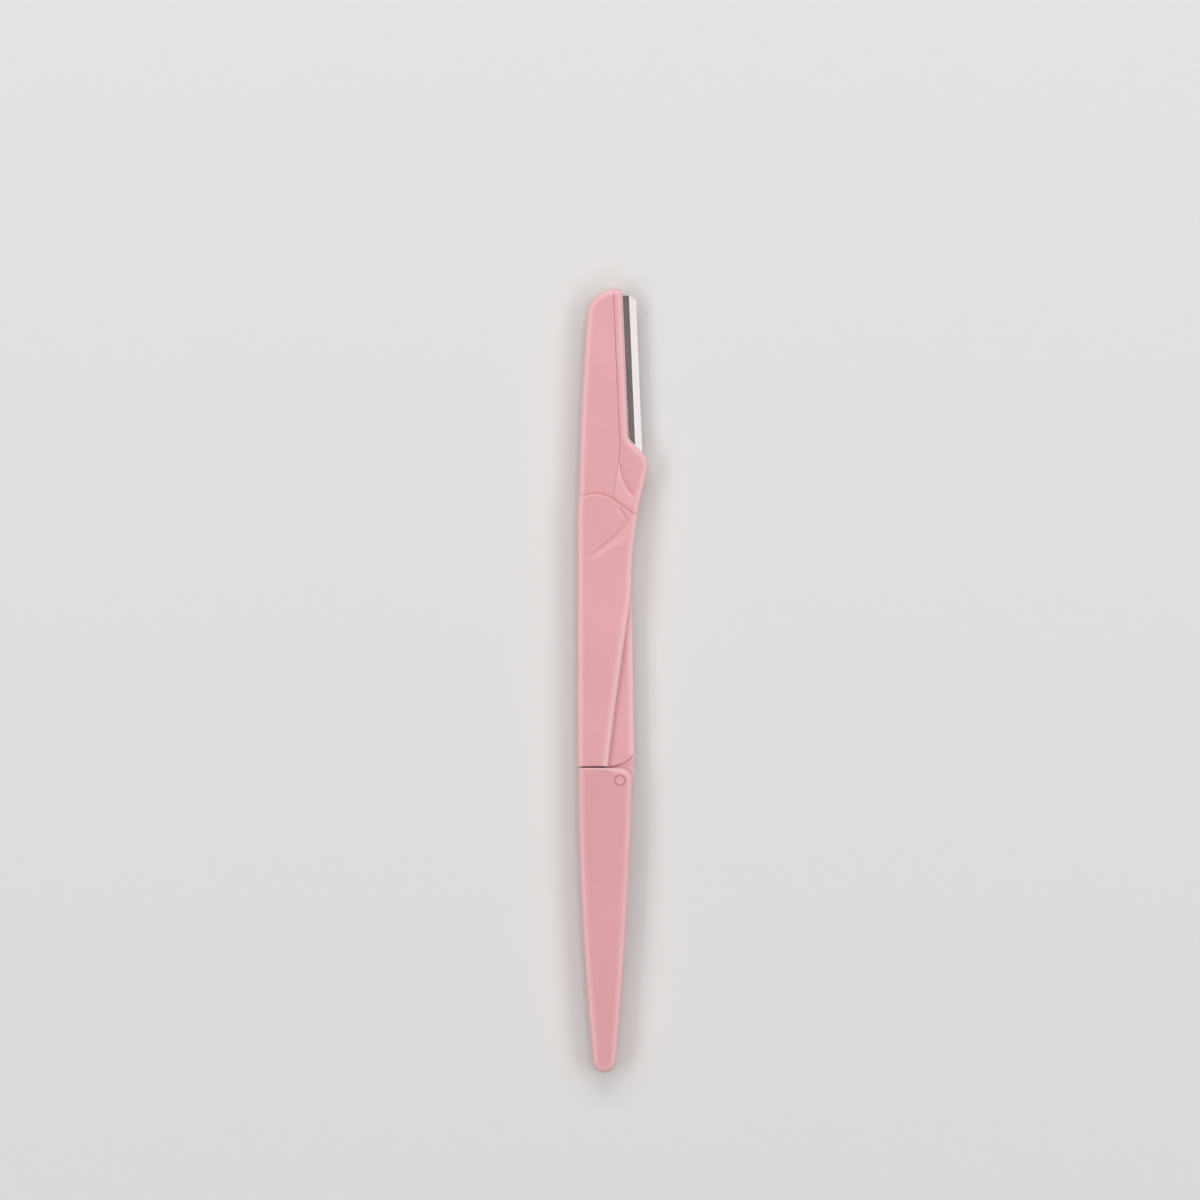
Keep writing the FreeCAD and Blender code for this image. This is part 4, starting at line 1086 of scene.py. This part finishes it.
# %% Dress the solids
dressing = [
    (front_scale_skin, "arm", "front_scale", "scale_plastic", scale_pink),
    (back_scale_skin, "arm", "back_scale", "scale_plastic", scale_pink),
    (core_skin, "arm", "arm_core", "core_plastic", core_pink),
    (blade_skin, "arm", "blade", "blade_steel", blade_steel),
    (handle_front_skin, "handle", "handle_front", "handle_plastic", handle_pink),
    (handle_back_skin, "handle", "handle_back", "handle_plastic", handle_pink),
    (pin_skin, "handle", "pivot_pin", "pin_plastic", pin_pink),
]
for skin, body, node, finish, material in dressing:
    skin.data.materials.clear()
    skin.data.materials.append(material)
    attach(skin, body)
    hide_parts(node)
print(len(dressing), "pieces dressed")

# %% [markdown]
# ## Floor, light and camera
# The razor is seen from straight above. Four soft windows round it draw bright lines along the rounded
# rims, the one beyond the tail weaker than the others, while the space above the lens stays dim, so
# that the flat of the blade looks dark. A narrow strip of light near the lens meets the tilted bevel. A
# sky texture would light all sides alike and flatten the relief.

# %% Floor
FLOOR_SIZE = 1.6
FLOOR_DROP = 0.0003
FLOOR_GREY = (0.70, 0.69, 0.68, 1)
FLOOR_ROUGHNESS = 0.9
floor_corners = np.array([(-1, -1), (1, -1), (1, 1), (-1, 1)]) * FLOOR_SIZE / 2
floor_mesh = bpy.data.meshes.new("floor")
floor_mesh.from_pydata(np.c_[floor_corners, np.full(4, -FLOOR_DROP)].tolist(), [], [(0, 1, 2, 3)])
floor = bpy.data.objects.new("floor", floor_mesh)
bpy.context.scene.collection.objects.link(floor)
floor_paint = bpy.data.materials.new("floor_paint")
floor_paint.use_nodes = True
floor_shader = floor_paint.node_tree.nodes["Principled BSDF"]
floor_shader.inputs["Base Color"].default_value = FLOOR_GREY
floor_shader.inputs["Roughness"].default_value = FLOOR_ROUGHNESS
floor_mesh.materials.append(floor_paint)
print("floor", FLOOR_SIZE, "m wide")

# %% Lights
VIEW_CENTRE = (-0.00275, 0.01695, 0.005)
# Name, place, width and length of each light in metres, and its power in watts
LIGHTS = (
    ("left_window", (-0.75, 0.017, 0.72), 0.42, 1.4, 5.4),
    ("right_window", (0.75, 0.017, 0.72), 0.42, 1.4, 5.1),
    ("tip_window", (-0.003, 0.85, 0.72), 1.0, 0.42, 6.0),
    ("tail_window", (-0.003, -0.85, 0.72), 1.0, 0.42, 1.8),
    ("bevel_strip", (0.185, 0.05, 1.0), 0.10, 0.5, 0.58),
)
SURROUND_TINT = (1.0, 0.97, 0.96, 1)
SURROUND_STRENGTH = 0.12


def soft_light(name, place, width, length, watts):
    """A rectangular light, unseen by the camera itself. It tilts about one axis, by the angle of the
    line from the view's centre to its place."""
    lamp = bpy.data.lights.new(name, "AREA")
    lamp.shape = "RECTANGLE"
    lamp.size = width
    lamp.size_y = length
    lamp.energy = watts
    holder = bpy.data.objects.new(name, lamp)
    holder.location = place
    right, ahead, up = np.array(place) - np.array(VIEW_CENTRE)
    if abs(right) > abs(ahead):
        holder.rotation_euler = (0, np.arctan2(right, up), 0)
    else:
        holder.rotation_euler = (-np.arctan2(ahead, up), 0, 0)
    holder.visible_camera = False
    bpy.context.scene.collection.objects.link(holder)


for light in LIGHTS:
    soft_light(*light)
surround = bpy.data.worlds.new("surround")
surround.use_nodes = True
surround.node_tree.nodes["Background"].inputs["Color"].default_value = SURROUND_TINT
surround.node_tree.nodes["Background"].inputs["Strength"].default_value = SURROUND_STRENGTH
bpy.context.scene.world = surround
bpy.context.scene.view_settings.view_transform = "Standard"
print(len(LIGHTS), "lights")

# %% Camera
CAMERA_RISE = 1.2
VIEW_WIDTH = 0.252
SENSOR_WIDTH = 36.0
camera_data = bpy.data.cameras.new("overhead_camera")
camera_data.sensor_width = SENSOR_WIDTH
camera_data.lens = SENSOR_WIDTH * CAMERA_RISE / VIEW_WIDTH
camera = bpy.data.objects.new("overhead_camera", camera_data)
camera.location = (VIEW_CENTRE[0], VIEW_CENTRE[1], VIEW_CENTRE[2] + CAMERA_RISE)
bpy.context.scene.collection.objects.link(camera)
bpy.context.scene.camera = camera
print("lens", round(camera_data.lens, 1), "mm")
